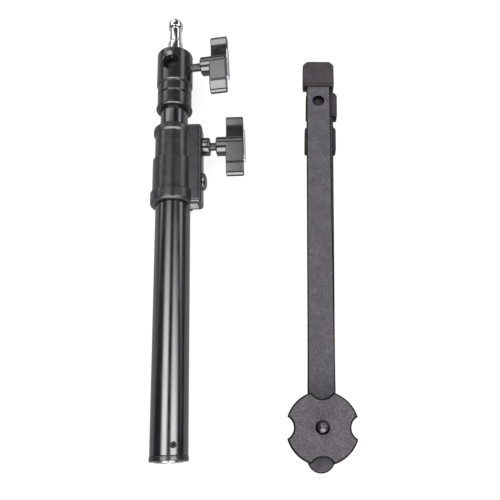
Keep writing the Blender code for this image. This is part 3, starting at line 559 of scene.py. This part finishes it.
def finish(name):
    """A finish from the panel's settings, made once."""
    if name not in FINISHES:
        tones = bpy.context.scene.light_stand_finishes
        boot_top = LEG_TOP + BOOT_RISE
        makers = {
            # the hub, leg and boot finishes pass their tops for painted shade on their rounded edges
            "hub_grey": (textured_coat, "hub_coat", tones.hub, 0.5, 1000.0, 0.00012, 0.5, HUB_TOP),
            "leg_grey": (textured_coat, "leg_coat", tones.legs, 0.55, 1500.0, 0.00006, 0.16, LEG_TOP,
                         LEG_PITCH),
            "rubber": (moulded, "boot_rubber", tones.rubber, 0.75, 1300.0, 0.00005, 0.4, boot_top, LEG_PITCH),
            "pad_rubber": (moulded, "pad_rubber", tones.rubber, 0.75),
            "foot_ring": (moulded, "foot_ring_black", tones.castings, 0.25, 1000.0, 0.00001, 1.0),
            "gloss_black": (gloss_tube, "tube_black", tones.tube, COLUMN),
            "satin_black": (satin_casting, "casting_black", tones.castings),
            "collar_black": (satin_casting, "collar_black", colour(tones.castings, 1.3), 0.25, 0.75, 900.0,
                             0.00004),
            "screw_steel": (plated, "screw_steel", colour(tones.zinc, 0.33), 0.2, 0.14, 0.6, 0.00002),
            "nut_black": (satin_casting, "nut_black", tones.tube, 0.16, 1.0, 900.0, 0.00001),
            "handle_black": (satin_casting, "handle_plastic", tones.handles, 0.16, 1.0, 1300.0, 0.00002),
            "chrome": (plated, "bright_chrome", tones.chrome, 0.05, 0.05),
            "zinc": (plated, "bright_zinc", tones.zinc, 0.2, 0.14, 0.75, 0.00002),
            "black_nylon": (moulded, "bush_nylon", tones.bushes, 0.5, 900.0, 0.00002),
            "dark_steel": (plated, "stud_steel", tones.stud, 0.26, 0.15, 0.7, 0.00002),
        }
        make, *settings = makers[name]
        FINISHES[name] = make(*settings)
    return FINISHES[name]


# Settings -------------------------------------------------------------------------------------------------

def tone_property(name, description, default):
    return FloatVectorProperty(name=name, description=description, default=default, size=3,
                               subtype="COLOR", min=0.0, max=1.0)


class LightStandFinishes(bpy.types.PropertyGroup):
    """The colours of the stand's finishes."""
    hub: tone_property("Hub coat", "Colour of the hub plate's textured coat", (0.1, 0.0935, 0.1015))
    legs: tone_property("Leg coat", "Colour of the flat legs' coat", (0.09, 0.085, 0.094))
    rubber: tone_property("Rubber", "Colour of the boots and the tail pad", (0.034, 0.0295, 0.034))
    tube: tone_property("Tube", "Colour under the gloss of tubes and nut", (0.006, 0.006, 0.008))
    castings: tone_property("Castings", "Colour of collar, head and foot ring", (0.011, 0.0102, 0.012))
    handles: tone_property("Handles", "Colour of the T-handles", (0.011, 0.0095, 0.0118))
    chrome: tone_property("Chrome", "Tint of the spigot and the clamp block", (0.86, 0.86, 0.87))
    zinc: tone_property("Zinc", "Tint of the plated screws, the plug and the inserts", (0.66, 0.66, 0.68))
    bushes: tone_property("Bushes", "Colour of the plain bushes and washers", (0.012, 0.012, 0.013))
    stud: tone_property("Stud", "Tint of the stud's plated steel", (0.115, 0.11, 0.115))


class LightStandSizes(bpy.types.PropertyGroup):
    """The sizes of the details that the scene adds."""
    stud_pitch: FloatProperty(name="Stud pitch", description="Rise of the stud's thread for each turn",
                              default=0.0015875, min=0.0005, max=0.003, unit="LENGTH")
    clamp_pitch: FloatProperty(name="Clamp screw pitch", description="Rise of the clamp screws' thread",
                               default=0.0015, min=0.0005, max=0.003, unit="LENGTH")
    round_steps: IntProperty(name="Round steps", description="Faces round a tube",
                             default=128, min=32, max=256)


class LightStandStage(bpy.types.PropertyGroup):
    """The studio: its soft boxes, its fill and its floor."""
    box_light: FloatProperty(name="Soft boxes", description="Brightness of the two soft boxes",
                             default=5.5, min=0.0, max=30.0)
    wall_light: FloatProperty(name="Wall", description="Brightness of the pale wall past the soft boxes",
                              default=1.9, min=0.0, max=10.0)
    strip_light: FloatProperty(name="Strip", description="Brightness of the low strip light at the front",
                               default=6.0, min=0.0, max=20.0)
    fill_light: FloatProperty(name="Fill", description="Brightness of the room between the lights",
                              default=0.06, min=0.0, max=2.0)
    floor_white: FloatProperty(name="Floor", description="Share of white that the floor shows of itself",
                               default=0.86, min=0.0, max=1.0, subtype="FACTOR")


# Operators ------------------------------------------------------------------------------------------------

class LIGHTSTAND_OT_tubes(bpy.types.Operator):
    """Makes the outer tube, its foot ring and the riser tube"""
    bl_idname = "lightstand.tubes"
    bl_label = "Tubes"

    def execute(self, context):
        steps = context.scene.light_stand_sizes.round_steps
        black = finish("gloss_black")
        profile = [(0.016, 0.0058), (0.0175, 0.0058), (0.0175, 0.302), (0.016, 0.302)]
        tube = turned("tube_outer", profile, COLUMN, 0.0003, steps, "loop", 0.01)
        profile = [(0, 0.009), (0.0029, 0.009), (0.0029, 0.0172), (0.0033, 0.0178), (0, 0.0178)]
        hole = turned("grub_hole", profile, GRUB_SCREW.across(), 0, 48)
        tube = combined(tube, cut=[hole])
        dress(tube, black, "column", "gloss_black", "outer_tube")
        low, high = FOOT_RING_START, FOOT_RING_START + FOOT_RING_HEIGHT
        profile = [(0.013, low), (FOOT_RADIUS, low), (FOOT_RADIUS, high), (0.013, high)]
        ring = turned("tube_foot", profile, COLUMN, 0.0006, steps, "loop")
        dress(ring, finish("foot_ring"), "column", "rubber", "tube_foot_ring")
        profile = [(0.0128, 0.036), (0.0143, 0.036), (0.0143, 0.3912), (0.0128, 0.3912)]
        riser = turned("tube_riser", profile, COLUMN, 0.0003, steps, "loop")
        dress(riser, black, "riser", "gloss_black", "riser_tube")
        return {"FINISHED"}


class LIGHTSTAND_OT_plug(bpy.types.Operator):
    """Makes the plug with its threaded socket, and its grub screw"""
    bl_idname = "lightstand.plug"
    bl_label = "Plug and grub screw"

    def execute(self, context):
        dress(refined("tube_plug", "plug_end"), finish("zinc"), "column", "zinc", "tube_plug")
        dress(refined("plug_grub_screw", "grub_screw"), finish("black_nylon"), "column", "zinc",
              "plug_grub_screw")
        return {"FINISHED"}


class LIGHTSTAND_OT_castings(bpy.types.Operator):
    """Makes the collar and the head, with the collar's bush and clamp block"""
    bl_idname = "lightstand.castings"
    bl_label = "Collar and head"

    def execute(self, context):
        satin = finish("satin_black")
        dress(self.make_collar(), finish("collar_black"), "column", "satin_black", "collar")
        dress(self.make_head(), satin, "riser", "satin_black", "head")
        dress(refined("collar_clamp_block", "clamp_block"), finish("chrome"), "column", "zinc",
              "collar_clamp_block")
        dress(refined("collar_bush", "bush_ring"), finish("black_nylon"), "column", "black_nylon",
              "collar_bush")
        return {"FINISHED"}

    @staticmethod
    def make_collar():
        """A turned body with two flanges and a step, joined to a rounded lug, and cut for what it holds."""
        start, step, top = 0.251, 0.3018, 0.3383
        profile = [(0, start), (0.0205, start), *arc((0.0205, start + 0.0028), 0.0025, -1.4, -0.1, 6),
                   (0.023, start + 0.0127), (0.022, start + 0.0137), (0.0211, start + 0.0137),
                   (0.0211, step - 0.001), (0.0201, step), (0.0191, step), (0.0191, top - 0.0085),
                   (0.0209, top - 0.0068), (0.0209, top - 0.002), (0.0189, top), (0, top)]
        body = turned("collar_casting", profile, COLUMN, 0.0004, 144, rows=0.004)
        lug = bar("lug", COLUMN, (0.0, 0.0302), (-0.0115, 0.0115), (start, top + 0.0022), 0.004, 0.0038, 8)
        below, above = start - 0.004, top + 0.004
        bore = turned("bore", [(0, below), (0.0178, below), (0.0178, 0.3023), (0.0168, 0.3023),
                               (0.0168, top), (0.0175, top), (0.0175, above), (0, above)], COLUMN, 0, 144)
        window = bar("window", COLUMN, (0.0, 0.0258), (-0.0061, 0.0061), (below, 0.2928), 0.0006, 0.0003)
        pocket = bar("pocket", COLUMN, (0.0, 0.0255), (-0.0063, 0.0063), (0.306, 0.33), 0.0006, 0.0003)
        way = turned("way", [(0, 0), (0.0048, 0), (0.0048, 0.0322), (0, 0.0322)], CLAMP.across(), 0, 48)
        screw = turned("screw", [(0, 0.0214), (0.0032, 0.0214), (0.0032, 0.0322), (0, 0.0322)],
                       COLUMN.at(z=0.2779).across(), 0, 48)
        return combined(body, [lug], [bore, window, pocket, way, screw])

    @staticmethod
    def make_head():
        """A turned body with a rim, two grooves and a rounded top, cut for its sockets and screws."""
        start, top = 0.3612, 0.4308
        profile = [(0, start), (0.018, start), (0.019, start + 0.001), (0.019, start + 0.0025),
                   (0.0179, start + 0.0035)]
        for height, above in ((start + 0.0171, 0.0179), (start + 0.0291, 0.019)):
            profile += [(0.0179, height - 0.0009), (0.017, height - 0.0005), (0.017, height + 0.0002),
                        (above, height + 0.0013)]
        profile += [(0.019, top - 0.0022), *arc((0.0168, top - 0.0022), 0.0022, 0.2, 1.4, 6), (0.0168, top),
                    (0, top)]
        body = turned("head_casting", profile, HEAD, 0.00035, 144, rows=0.004)
        bore = turned("bore", [(0, start - 0.002), (0.0146, start - 0.002), (0.0146, 0.3915), (0, 0.3915)],
                      HEAD, 0, 96)
        shank = turned("shank", [(0, top - 0.0088), (0.0051, top - 0.0088), (0.0051, top + 0.002),
                                 (0, top + 0.002)], HEAD, 0, 48)
        reach, wide, flare = 0.021, 0.0133, 0.0162
        radius = 0.00825
        profile = [(0, -reach), (wide, -reach), (radius, -flare), (radius, flare), (wide, reach), (0, reach)]
        socket = turned("socket", profile, HEAD_SCREW.rolled(math.pi / 2).across(), 0.0006, 96)
        way = turned("way", [(0, 0), (0.0048, 0), (0.0048, 0.021), (0, 0.021)], HEAD_SCREW.across(), 0, 48)
        return combined(body, cut=[bore, shank, socket, way])


class LIGHTSTAND_OT_spigot(bpy.types.Operator):
    """Makes the bright spigot"""
    bl_idname = "lightstand.spigot"
    bl_label = "Spigot"

    def execute(self, context):
        base = 0.4311
        profile = [(0.0, base - 0.0085), (0.0048, base - 0.0085), (0.0048, base), (0.0079, base),
                   (0.0079, base + 0.0162), (0.0065, base + 0.0186), (0.0064, base + 0.034),
                   (0.0079, base + 0.036), (0.0079, base + 0.0418), (0.0067, base + 0.0441),
                   (0.0043, base + 0.0447), (0.0036, base + 0.0451), (0.0039, base + 0.0474),
                   (0.0031, base + 0.048), (0.0, base + 0.048)]
        piece = turned("spigot_chrome", profile, HEAD, 0.0005, 96)
        dress(piece, finish("chrome"), "riser", "chrome", "spigot")
        return {"FINISHED"}


class LIGHTSTAND_OT_screws(bpy.types.Operator):
    """Makes the two clamp screws, the fixing screw, the nut and the head screw's tip"""
    bl_idname = "lightstand.screws"
    bl_label = "Screws"

    def execute(self, context):
        pitch = context.scene.light_stand_sizes.clamp_pitch
        zinc, steel = finish("zinc"), finish("screw_steel")
        screw = threaded("clamp_screw_thread", CLAMP.across(), 0.0045, 0.0225, 0.0564, pitch, 0.0007,
                         flip=True)
        dress(screw, steel, "collar_knob", "zinc", "clamp_screw")
        screw = threaded("head_screw_thread", HEAD_SCREW.across(), 0.0045, -0.0017, 0.0416, pitch, 0.0007,
                         flip=True)
        dress(screw, steel, "head_knob", "zinc", "head_screw")
        profile = [(0.0, -0.005), (0.0038, -0.005), (0.0038, -0.002), (0.0, -0.002)]
        tip = turned("head_screw_end", profile, HEAD_SCREW.across(), 0.0006, 48)
        dress(tip, zinc, "head_pad", "zinc", "head_screw_tip")
        face = 0.0305
        profile = [(0.0, 0.0217), (0.0029, 0.0217), (0.0029, face), (0.0092, face), (0.0090, face + 0.0012),
                   (0.0075, face + 0.0028), (0.0045, face + 0.0038), (0.0, face + 0.004)]
        screw = turned("fixing_screw", profile, COLUMN.at(z=0.2779).across(), 0.0006, 64)
        dress(screw, steel, "column", "zinc", "collar_fixing_screw")
        profile = [(0.0048, face), (0.0095, face), (0.0095, face + 0.0063), (0.0087, face + 0.0075),
                   (0.0048, face + 0.0075)]
        nut = turned("clamp_nut_ring", profile, CLAMP.across(), 0.0005, 96, "loop")
        dress(nut, finish("nut_black"), "column", "satin_black", "clamp_nut")
        return {"FINISHED"}


class LIGHTSTAND_OT_handles(bpy.types.Operator):
    """Makes the two T-handles and their bright inserts"""
    bl_idname = "lightstand.handles"
    bl_label = "T-handles"

    def execute(self, context):
        for name, body, start, turn in (("clamp", "collar_knob", CLAMP.at(x=0.0444), 6.0),
                                        ("head", "head_knob", HEAD_SCREW.at(x=0.0296), 8.0)):
            place = start.rolled(math.radians(turn), "X")
            dress(self.make_handle(name, place), finish("handle_black"), body, "handle_black",
                  name + "_handle")
            dress(refined(name + "_handle_insert", name + "_t_insert"), finish("zinc"), body,
                  "chrome", name + "_handle_insert")
        return {"FINISHED"}

    @classmethod
    def make_handle(cls, name, place):
        """A round boss along +X with a shaped wing to each hand, cut for its screw."""
        profile = [(0, 0), (0.009, 0), (0.01, 0.001), (0.01, 0.0275), (0.009, 0.0285), (0, 0.0285)]
        boss = turned(name + "_t_handle", profile, place.across(), 0.0004, 96, rows=0.004)
        wings = [cls.make_wing(name + "_wing", place, hand) for hand in (-1, 1)]
        bore = turned("bore", [(0, -0.002), (0.0048, -0.002), (0.0048, 0.0123), (0, 0.0123)],
                      place.across(), 0, 48)
        return combined(boss, wings, [bore], 28.0)

    @staticmethod
    def make_wing(name, place, hand):
        """One wing along the handle, rounded at its tip and shaped for the thumb on its two faces.

        At s from the screw, the outer face is flat to a fold at 20.5 mm and falls past 22.8 mm; the inner
        face is hollowed by 2.1 mm at 25 mm. The last 4.25 mm close as a half round.
        """
        half, tip = 0.03525, 0.00425
        s = np.concatenate([np.linspace(0, half - tip, 48),
                            half - tip + tip * np.sin(np.linspace(0, math.pi / 2, 12))[1:]])
        round_off = 1 - np.sqrt(np.clip(1 - ((s - half + tip) / tip).clip(0, 1) ** 2, 0.0004, 1))
        outer = 0.010 - tip * round_off - np.interp(s, (0.004, 0.0205, 0.0228, 0.034),
                                                    (0, 0, -0.0005, 0.0014))
        inner = tip * round_off + np.interp(s, (0.007, 0.0245, 0.0258, 0.034),
                                            (0.0002, 0.0021, 0.0021, 0.0013))
        depth = 0.00925 - 0.0012 * round_off
        rings = []
        for distance, high, low, across in zip(s, outer, inner, depth):
            outline = rounded_outline(across, max((high - low) / 2, 2e-4), 0.0013)
            rings.append(np.column_stack([outline[:, 0] + 0.01925, (outline[:, 1] + (high + low) / 2) * hand,
                                          np.full(len(outline), distance * hand)]))
        points, faces = closed_grid(np.array(rings))
        return make_mesh(name, points, faces, place)


class LIGHTSTAND_OT_hub(bpy.types.Operator):
    """Makes the hub plate and the threaded stud, with its end and its bolt head"""
    bl_idname = "lightstand.hub"
    bl_label = "Hub"

    def execute(self, context):
        sizes = context.scene.light_stand_sizes
        dress(self.make_plate(), finish("hub_grey"), "base", "hub_grey", "hub_plate")
        stud = threaded("stud_thread", HUB, 0.00476, 0.004, HUB_TOP + 0.0127, sizes.stud_pitch, 0.0007,
                        0.0021)
        dress(stud, finish("dark_steel"), "base", "dark_steel", "hub_stud")
        top = HUB_TOP + 0.013
        profile = [(0, top - 0.0012), (0.0026, top - 0.0012), (0.0024, top), (0.0017, top),
                   (0.0014, top - 0.0005), (0.0010, top - 0.0005), (0.0007, top), (0, top)]
        dress(turned("stud_end", profile, HUB, 0.0001, 64), finish("dark_steel"), "base", "dark_steel")
        profile = [(0.0, 0.002), (0.014, 0.002), (0.014, 0.0042), (0.0, 0.0042)]
        head = turned("stud_bolt_head", profile, HUB, 0.0005, 64)
        dress(head, finish("dark_steel"), "base", "dark_steel")
        return {"FINISHED"}

    @staticmethod
    def make_plate():
        """A round plate with four scallops in its rim, and a countersunk hole for the stud.

        Moved in by e, the rim's radius R and the scallops' radius b become R - e and b + e, and the two
        meet at the angle acos((R^2 + d^2 - b^2) / 2Rd) from a scallop's middle, which is d from the stud.
        """
        def outline_at(less):
            radius, offset, bite = 0.0328 - less, 0.0366, 0.0111 + less
            half = math.acos((radius ** 2 + offset ** 2 - bite ** 2) / (2 * radius * offset))
            lean = math.atan2(radius * math.sin(half), radius * math.cos(half) - offset)
            pieces = []
            for middle in np.arange(4) * math.pi / 2:
                centre = (offset * math.cos(middle), offset * math.sin(middle))
                pieces.append(arc(centre, bite, middle - lean, middle + lean - 2 * math.pi, 30)[:-1])
                pieces.append(arc((0, 0), radius, middle + half, middle + math.pi / 2 - half, 36)[:-1])
            return np.concatenate(pieces)
        cover = plate("hub_cover", HUB, outline_at, HUB_TOP - 0.007, HUB_TOP, 0.0024, 10)
        hole = turned("hole", [(0, HUB_TOP - 0.009), (0.0051, HUB_TOP - 0.009), (0.0051, HUB_TOP - 0.0014),
                               (0.0075, HUB_TOP + 0.001), (0, HUB_TOP + 0.001)], HUB, 0, 72)
        return combined(cover, cut=[hole])


class LIGHTSTAND_OT_legs(bpy.types.Operator):
    """Makes the three flat legs, their rubber boots and the tail pad"""
    bl_idname = "lightstand.legs"
    bl_label = "Legs and boots"

    def execute(self, context):
        for number, (leg, body, reach, tail, askew) in enumerate((
                ("bottom", "base", 0.3215, 0.0248, -0.35), ("middle", "middle_leg", 0.3578, 0.0, -0.5),
                ("top", "top_leg", 0.3895, 0.0, 0.08))):
            place = HUB.rolled(math.radians(askew))
            bottom = LEG_START + number * LEG_PITCH
            dress(self.make_leg("bar_" + leg, place, reach, tail, bottom), finish("leg_grey"), body,
                  "leg_grey", "leg_" + leg)
            dress(self.make_boot("boot_" + leg, place, reach, bottom), finish("rubber"), body, "rubber",
                  "leg_" + leg + "_boot")
        dress(refined("tail_pad", "tail_pad_moulding"), finish("pad_rubber"), "base", "rubber", "tail_pad")
        return {"FINISHED"}

    @staticmethod
    def make_leg(name, place, reach, tail, bottom):
        """A flat bar with rounded edges, round at its pivot, with its pivot and fixing holes."""
        half, top = 0.01275, bottom + LEG_THICKNESS
        end = softened([(half, 0.05), (half, reach), (-half, reach), (-half, 0.05)], 0.003, 6)
        outline = np.concatenate([arc((0, -tail), half, math.pi, 2 * math.pi, 48), end])
        leg = plate(name, place, moved_in(outline), bottom, top, 0.0019, 8)
        holes = []
        fixing = reach + BOOT_PAST_LEG - BOOT_LENGTH - HOLE_FROM_BOOT
        for hole, radius, y in (("pivot", 0.0083, 0.0), ("hole", 0.0063, fixing)):
            profile = [(0, bottom - 0.001), (radius + 0.0012, bottom - 0.001), (radius, bottom + 0.0003),
                       (radius, top - 0.0003), (radius + 0.0012, top + 0.001), (0, top + 0.001)]
            holes.append(turned(hole, profile, place.at(y=y), 0, 72))
        return combined(leg, cut=holes)

    @staticmethod
    def make_boot(name, place, reach, bottom):
        """A moulded boot with cut corners and soft edges, open towards the pivot, with a lip at its mouth."""
        end, half, corner = reach + BOOT_PAST_LEG, 0.01675, 0.0045
        start, top = end - BOOT_LENGTH, bottom + LEG_THICKNESS + BOOT_RISE
        outline = softened([(half, start), (half, end - corner), (half - corner, end), (corner - half, end),
                            (-half, end - corner), (-half, start)], 0.002, 6, loop=True)
        boot = plate(name, place, moved_in(outline), bottom - LEG_START, top, 0.0014, 8)
        pocket = bar("pocket", place, (-0.01305, 0.01305), (start - BOOT_LENGTH, reach + 0.0003),
                     (bottom - 0.0003, bottom + 0.0063), 0.0008, 0.0008)
        groove = bar("groove", place, (-half - 0.001, half + 0.001), (start + 0.0024, start + 0.0031),
                     (top - 0.00035, top + 0.002), 0.0002, 0.0001)
        return combined(boot, cut=[pocket, groove])


class LIGHTSTAND_OT_plain(bpy.types.Operator):
    """Gives every CAD solid that still shows its finish"""
    bl_idname = "lightstand.plain"
    bl_label = "Remaining solids"

    def execute(self, context):
        slots = {row["node"]: row["material_slot"] for row in frame["record"]["subparts"]}
        for name, thing in frame["nodes"].items():
            if not thing.hide_render:
                dress(refined(name, name + "_solid"), finish(slots[name]), thing["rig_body"], slots[name],
                      name)
        return {"FINISHED"}


class LIGHTSTAND_OT_stage(bpy.types.Operator):
    """Makes the floor, the studio's light and the camera"""
    bl_idname = "lightstand.stage"
    bl_label = "Stage"

    def execute(self, context):
        scene = context.scene
        self.make_floor(scene.light_stand_stage)
        self.make_world(scene, scene.light_stand_stage)
        self.make_camera(scene)
        scene.view_settings.view_transform = "Standard"
        return {"FINISHED"}

    @staticmethod
    def make_floor(settings):
        """A flat square; what shows of it is mostly its own white, so that shadows stay faint."""
        half = 6.0
        corners = np.array([(-half, -half, 0), (half, -half, 0), (half, half, 0), (-half, half, 0)])
        floor = make_mesh("studio_floor", corners - np.array([0, 0, 0.0001]), [[0, 1, 2, 3]],
                          Place((0, 0, 0)))
        if floor.data.polygons[0].normal.z < 0:
            floor.data.flip_normals()
        material = bpy.data.materials.new("studio_white")
        material.use_nodes = True
        graph = Graph(material.node_tree)
        path = graph.node("ShaderNodeLightPath")
        seen, mirrored = (Value(graph, path.outputs[name]) for name in ("Is Camera Ray", "Is Glossy Ray"))
        white = settings.floor_white
        glow = graph.out("ShaderNodeEmission", inputs={"Color": (1, 1, 1, 1), "Strength": white})
        lit = graph.out("ShaderNodeBsdfDiffuse", inputs={"Color": (1.08 - white,) * 3 + (1,)})
        shown = graph.out("ShaderNodeAddShader", inputs={0: glow, 1: lit})
        bounce = graph.out("ShaderNodeBsdfDiffuse", inputs={"Color": (0.8, 0.8, 0.8, 1)})
        plain = graph.out("ShaderNodeEmission", inputs={"Color": (1, 1, 1, 1), "Strength": 0.5})
        rest = graph.out("ShaderNodeMixShader", inputs={0: mirrored, 1: bounce, 2: plain})
        mixed = graph.out("ShaderNodeMixShader", inputs={0: seen, 1: rest, 2: shown})
        graph.node("ShaderNodeOutputMaterial", inputs={"Surface": mixed})
        floor.data.materials.append(material)

    @staticmethod
    def make_world(scene, settings):
        """Two soft boxes overhead, either side of the camera, in a dim room; white to the camera.

        With the direction (x, y, z), a box is the product of smooth steps in x / z and y / z. A pale wall
        stands past them with a dark gap in its middle, and a low strip light stands at the front.
        """
        world = bpy.data.worlds.new("studio")
        scene.world = world
        world.use_nodes = True
        graph = Graph(world.node_tree)
        direction = graph.out("ShaderNodeTexCoord", "Generated")
        split = graph.node("ShaderNodeSeparateXYZ", inputs={0: direction})
        x, y, z = (Value(graph, split.outputs[n]) for n in range(3))
        above = z.step(0.0, 0.05)
        side, along = x / z.math("MAXIMUM", 0.02), y / z.math("MAXIMUM", 0.02)
        fade = (1.0 - along.step(0.05, 0.62)) * along.step(-0.4, -0.15)
        left = side.step(-0.95, -0.42) * (1.0 - side.step(-0.2, 0.02))
        right = side.step(0.2, 0.5) * (1.0 - side.step(0.85, 1.9))
        boxes = (left + right) * fade * settings.box_light
        gap = side.step(-0.1, 0.05) * (1.0 - side.step(0.8, 1.3))
        near = 0.25 + (1.0 - side.math("ABSOLUTE").step(2.0, 3.5)) * 0.75
        wall = along.step(0.74, 1.05) * (1.0 - along.step(1.8, 2.6)) * (1.0 - gap) * near
        sideways = (x / y.math("MINIMUM", -0.02)).math("ABSOLUTE")
        strip = (1.0 - along.step(-1.2, -0.8)) * (1.0 - sideways.step(0.5, 0.9)) * settings.strip_light
        room = (boxes + wall * settings.wall_light + strip) * above + settings.fill_light
        lit = graph.out("ShaderNodeBackground", inputs={"Color": (1, 0.985, 1, 1), "Strength": room})
        white = graph.out("ShaderNodeBackground", inputs={"Color": (1, 1, 1, 1), "Strength": 1.0})
        seen = graph.out("ShaderNodeLightPath", "Is Camera Ray")
        mixed = graph.out("ShaderNodeMixShader", inputs={0: seen, 1: lit, 2: white})
        graph.node("ShaderNodeOutputWorld", inputs={"Surface": mixed})

    @staticmethod
    def make_camera(scene):
        """Overhead, tipped 18.8 degrees towards the boots."""
        data = bpy.data.cameras.new("overhead_camera")
        camera = bpy.data.objects.new("overhead_camera", data)
        scene.collection.objects.link(camera)
        data.sensor_width, data.lens = 36.0, 46.656
        data.shift_x, data.shift_y = -0.076, 0.076
        data.clip_start, data.clip_end = 0.01, 50.0
        turn = Matrix.Rotation(math.radians(0.38), 4, "Z") @ Matrix.Rotation(math.radians(18.8), 4, "X")
        place = Vector((HUB_MIDDLE.x - 0.03018, HUB_MIDDLE.y - 0.06777, 0.618))
        camera.matrix_world = Matrix.Translation(place) @ turn
        scene.camera = camera


class LIGHTSTAND_PT_panel(bpy.types.Panel):
    """Lists the stand's pieces and settings"""
    bl_idname = "LIGHTSTAND_PT_panel"
    bl_label = "Light Stand"
    bl_space_type = "VIEW_3D"
    bl_region_type = "UI"
    bl_category = "Light Stand"

    def draw(self, context):
        layout = self.layout
        for group in (context.scene.light_stand_finishes, context.scene.light_stand_sizes,
                      context.scene.light_stand_stage):
            for name in group.bl_rna.properties.keys():
                if name not in ("rna_type", "name"):
                    layout.prop(group, name)
        for operator in OPERATORS:
            layout.operator(operator.bl_idname)


OPERATORS = (LIGHTSTAND_OT_tubes, LIGHTSTAND_OT_plug, LIGHTSTAND_OT_castings, LIGHTSTAND_OT_spigot,
             LIGHTSTAND_OT_screws, LIGHTSTAND_OT_handles, LIGHTSTAND_OT_hub, LIGHTSTAND_OT_legs,
             LIGHTSTAND_OT_plain, LIGHTSTAND_OT_stage)
GROUPS = (LightStandFinishes, LightStandSizes, LightStandStage)


def register():
    for item in (*GROUPS, *OPERATORS, LIGHTSTAND_PT_panel):
        bpy.utils.register_class(item)
    bpy.types.Scene.light_stand_finishes = PointerProperty(type=LightStandFinishes)
    bpy.types.Scene.light_stand_sizes = PointerProperty(type=LightStandSizes)
    bpy.types.Scene.light_stand_stage = PointerProperty(type=LightStandStage)


def unregister():
    for name in ("light_stand_finishes", "light_stand_sizes", "light_stand_stage"):
        delattr(bpy.types.Scene, name)
    for item in reversed((*GROUPS, *OPERATORS, LIGHTSTAND_PT_panel)):
        bpy.utils.unregister_class(item)


def main():
    register()
    for operator in OPERATORS:
        group, name = operator.bl_idname.split(".")
        getattr(getattr(bpy.ops, group), name)()


if __name__ == "__main__":
    main()
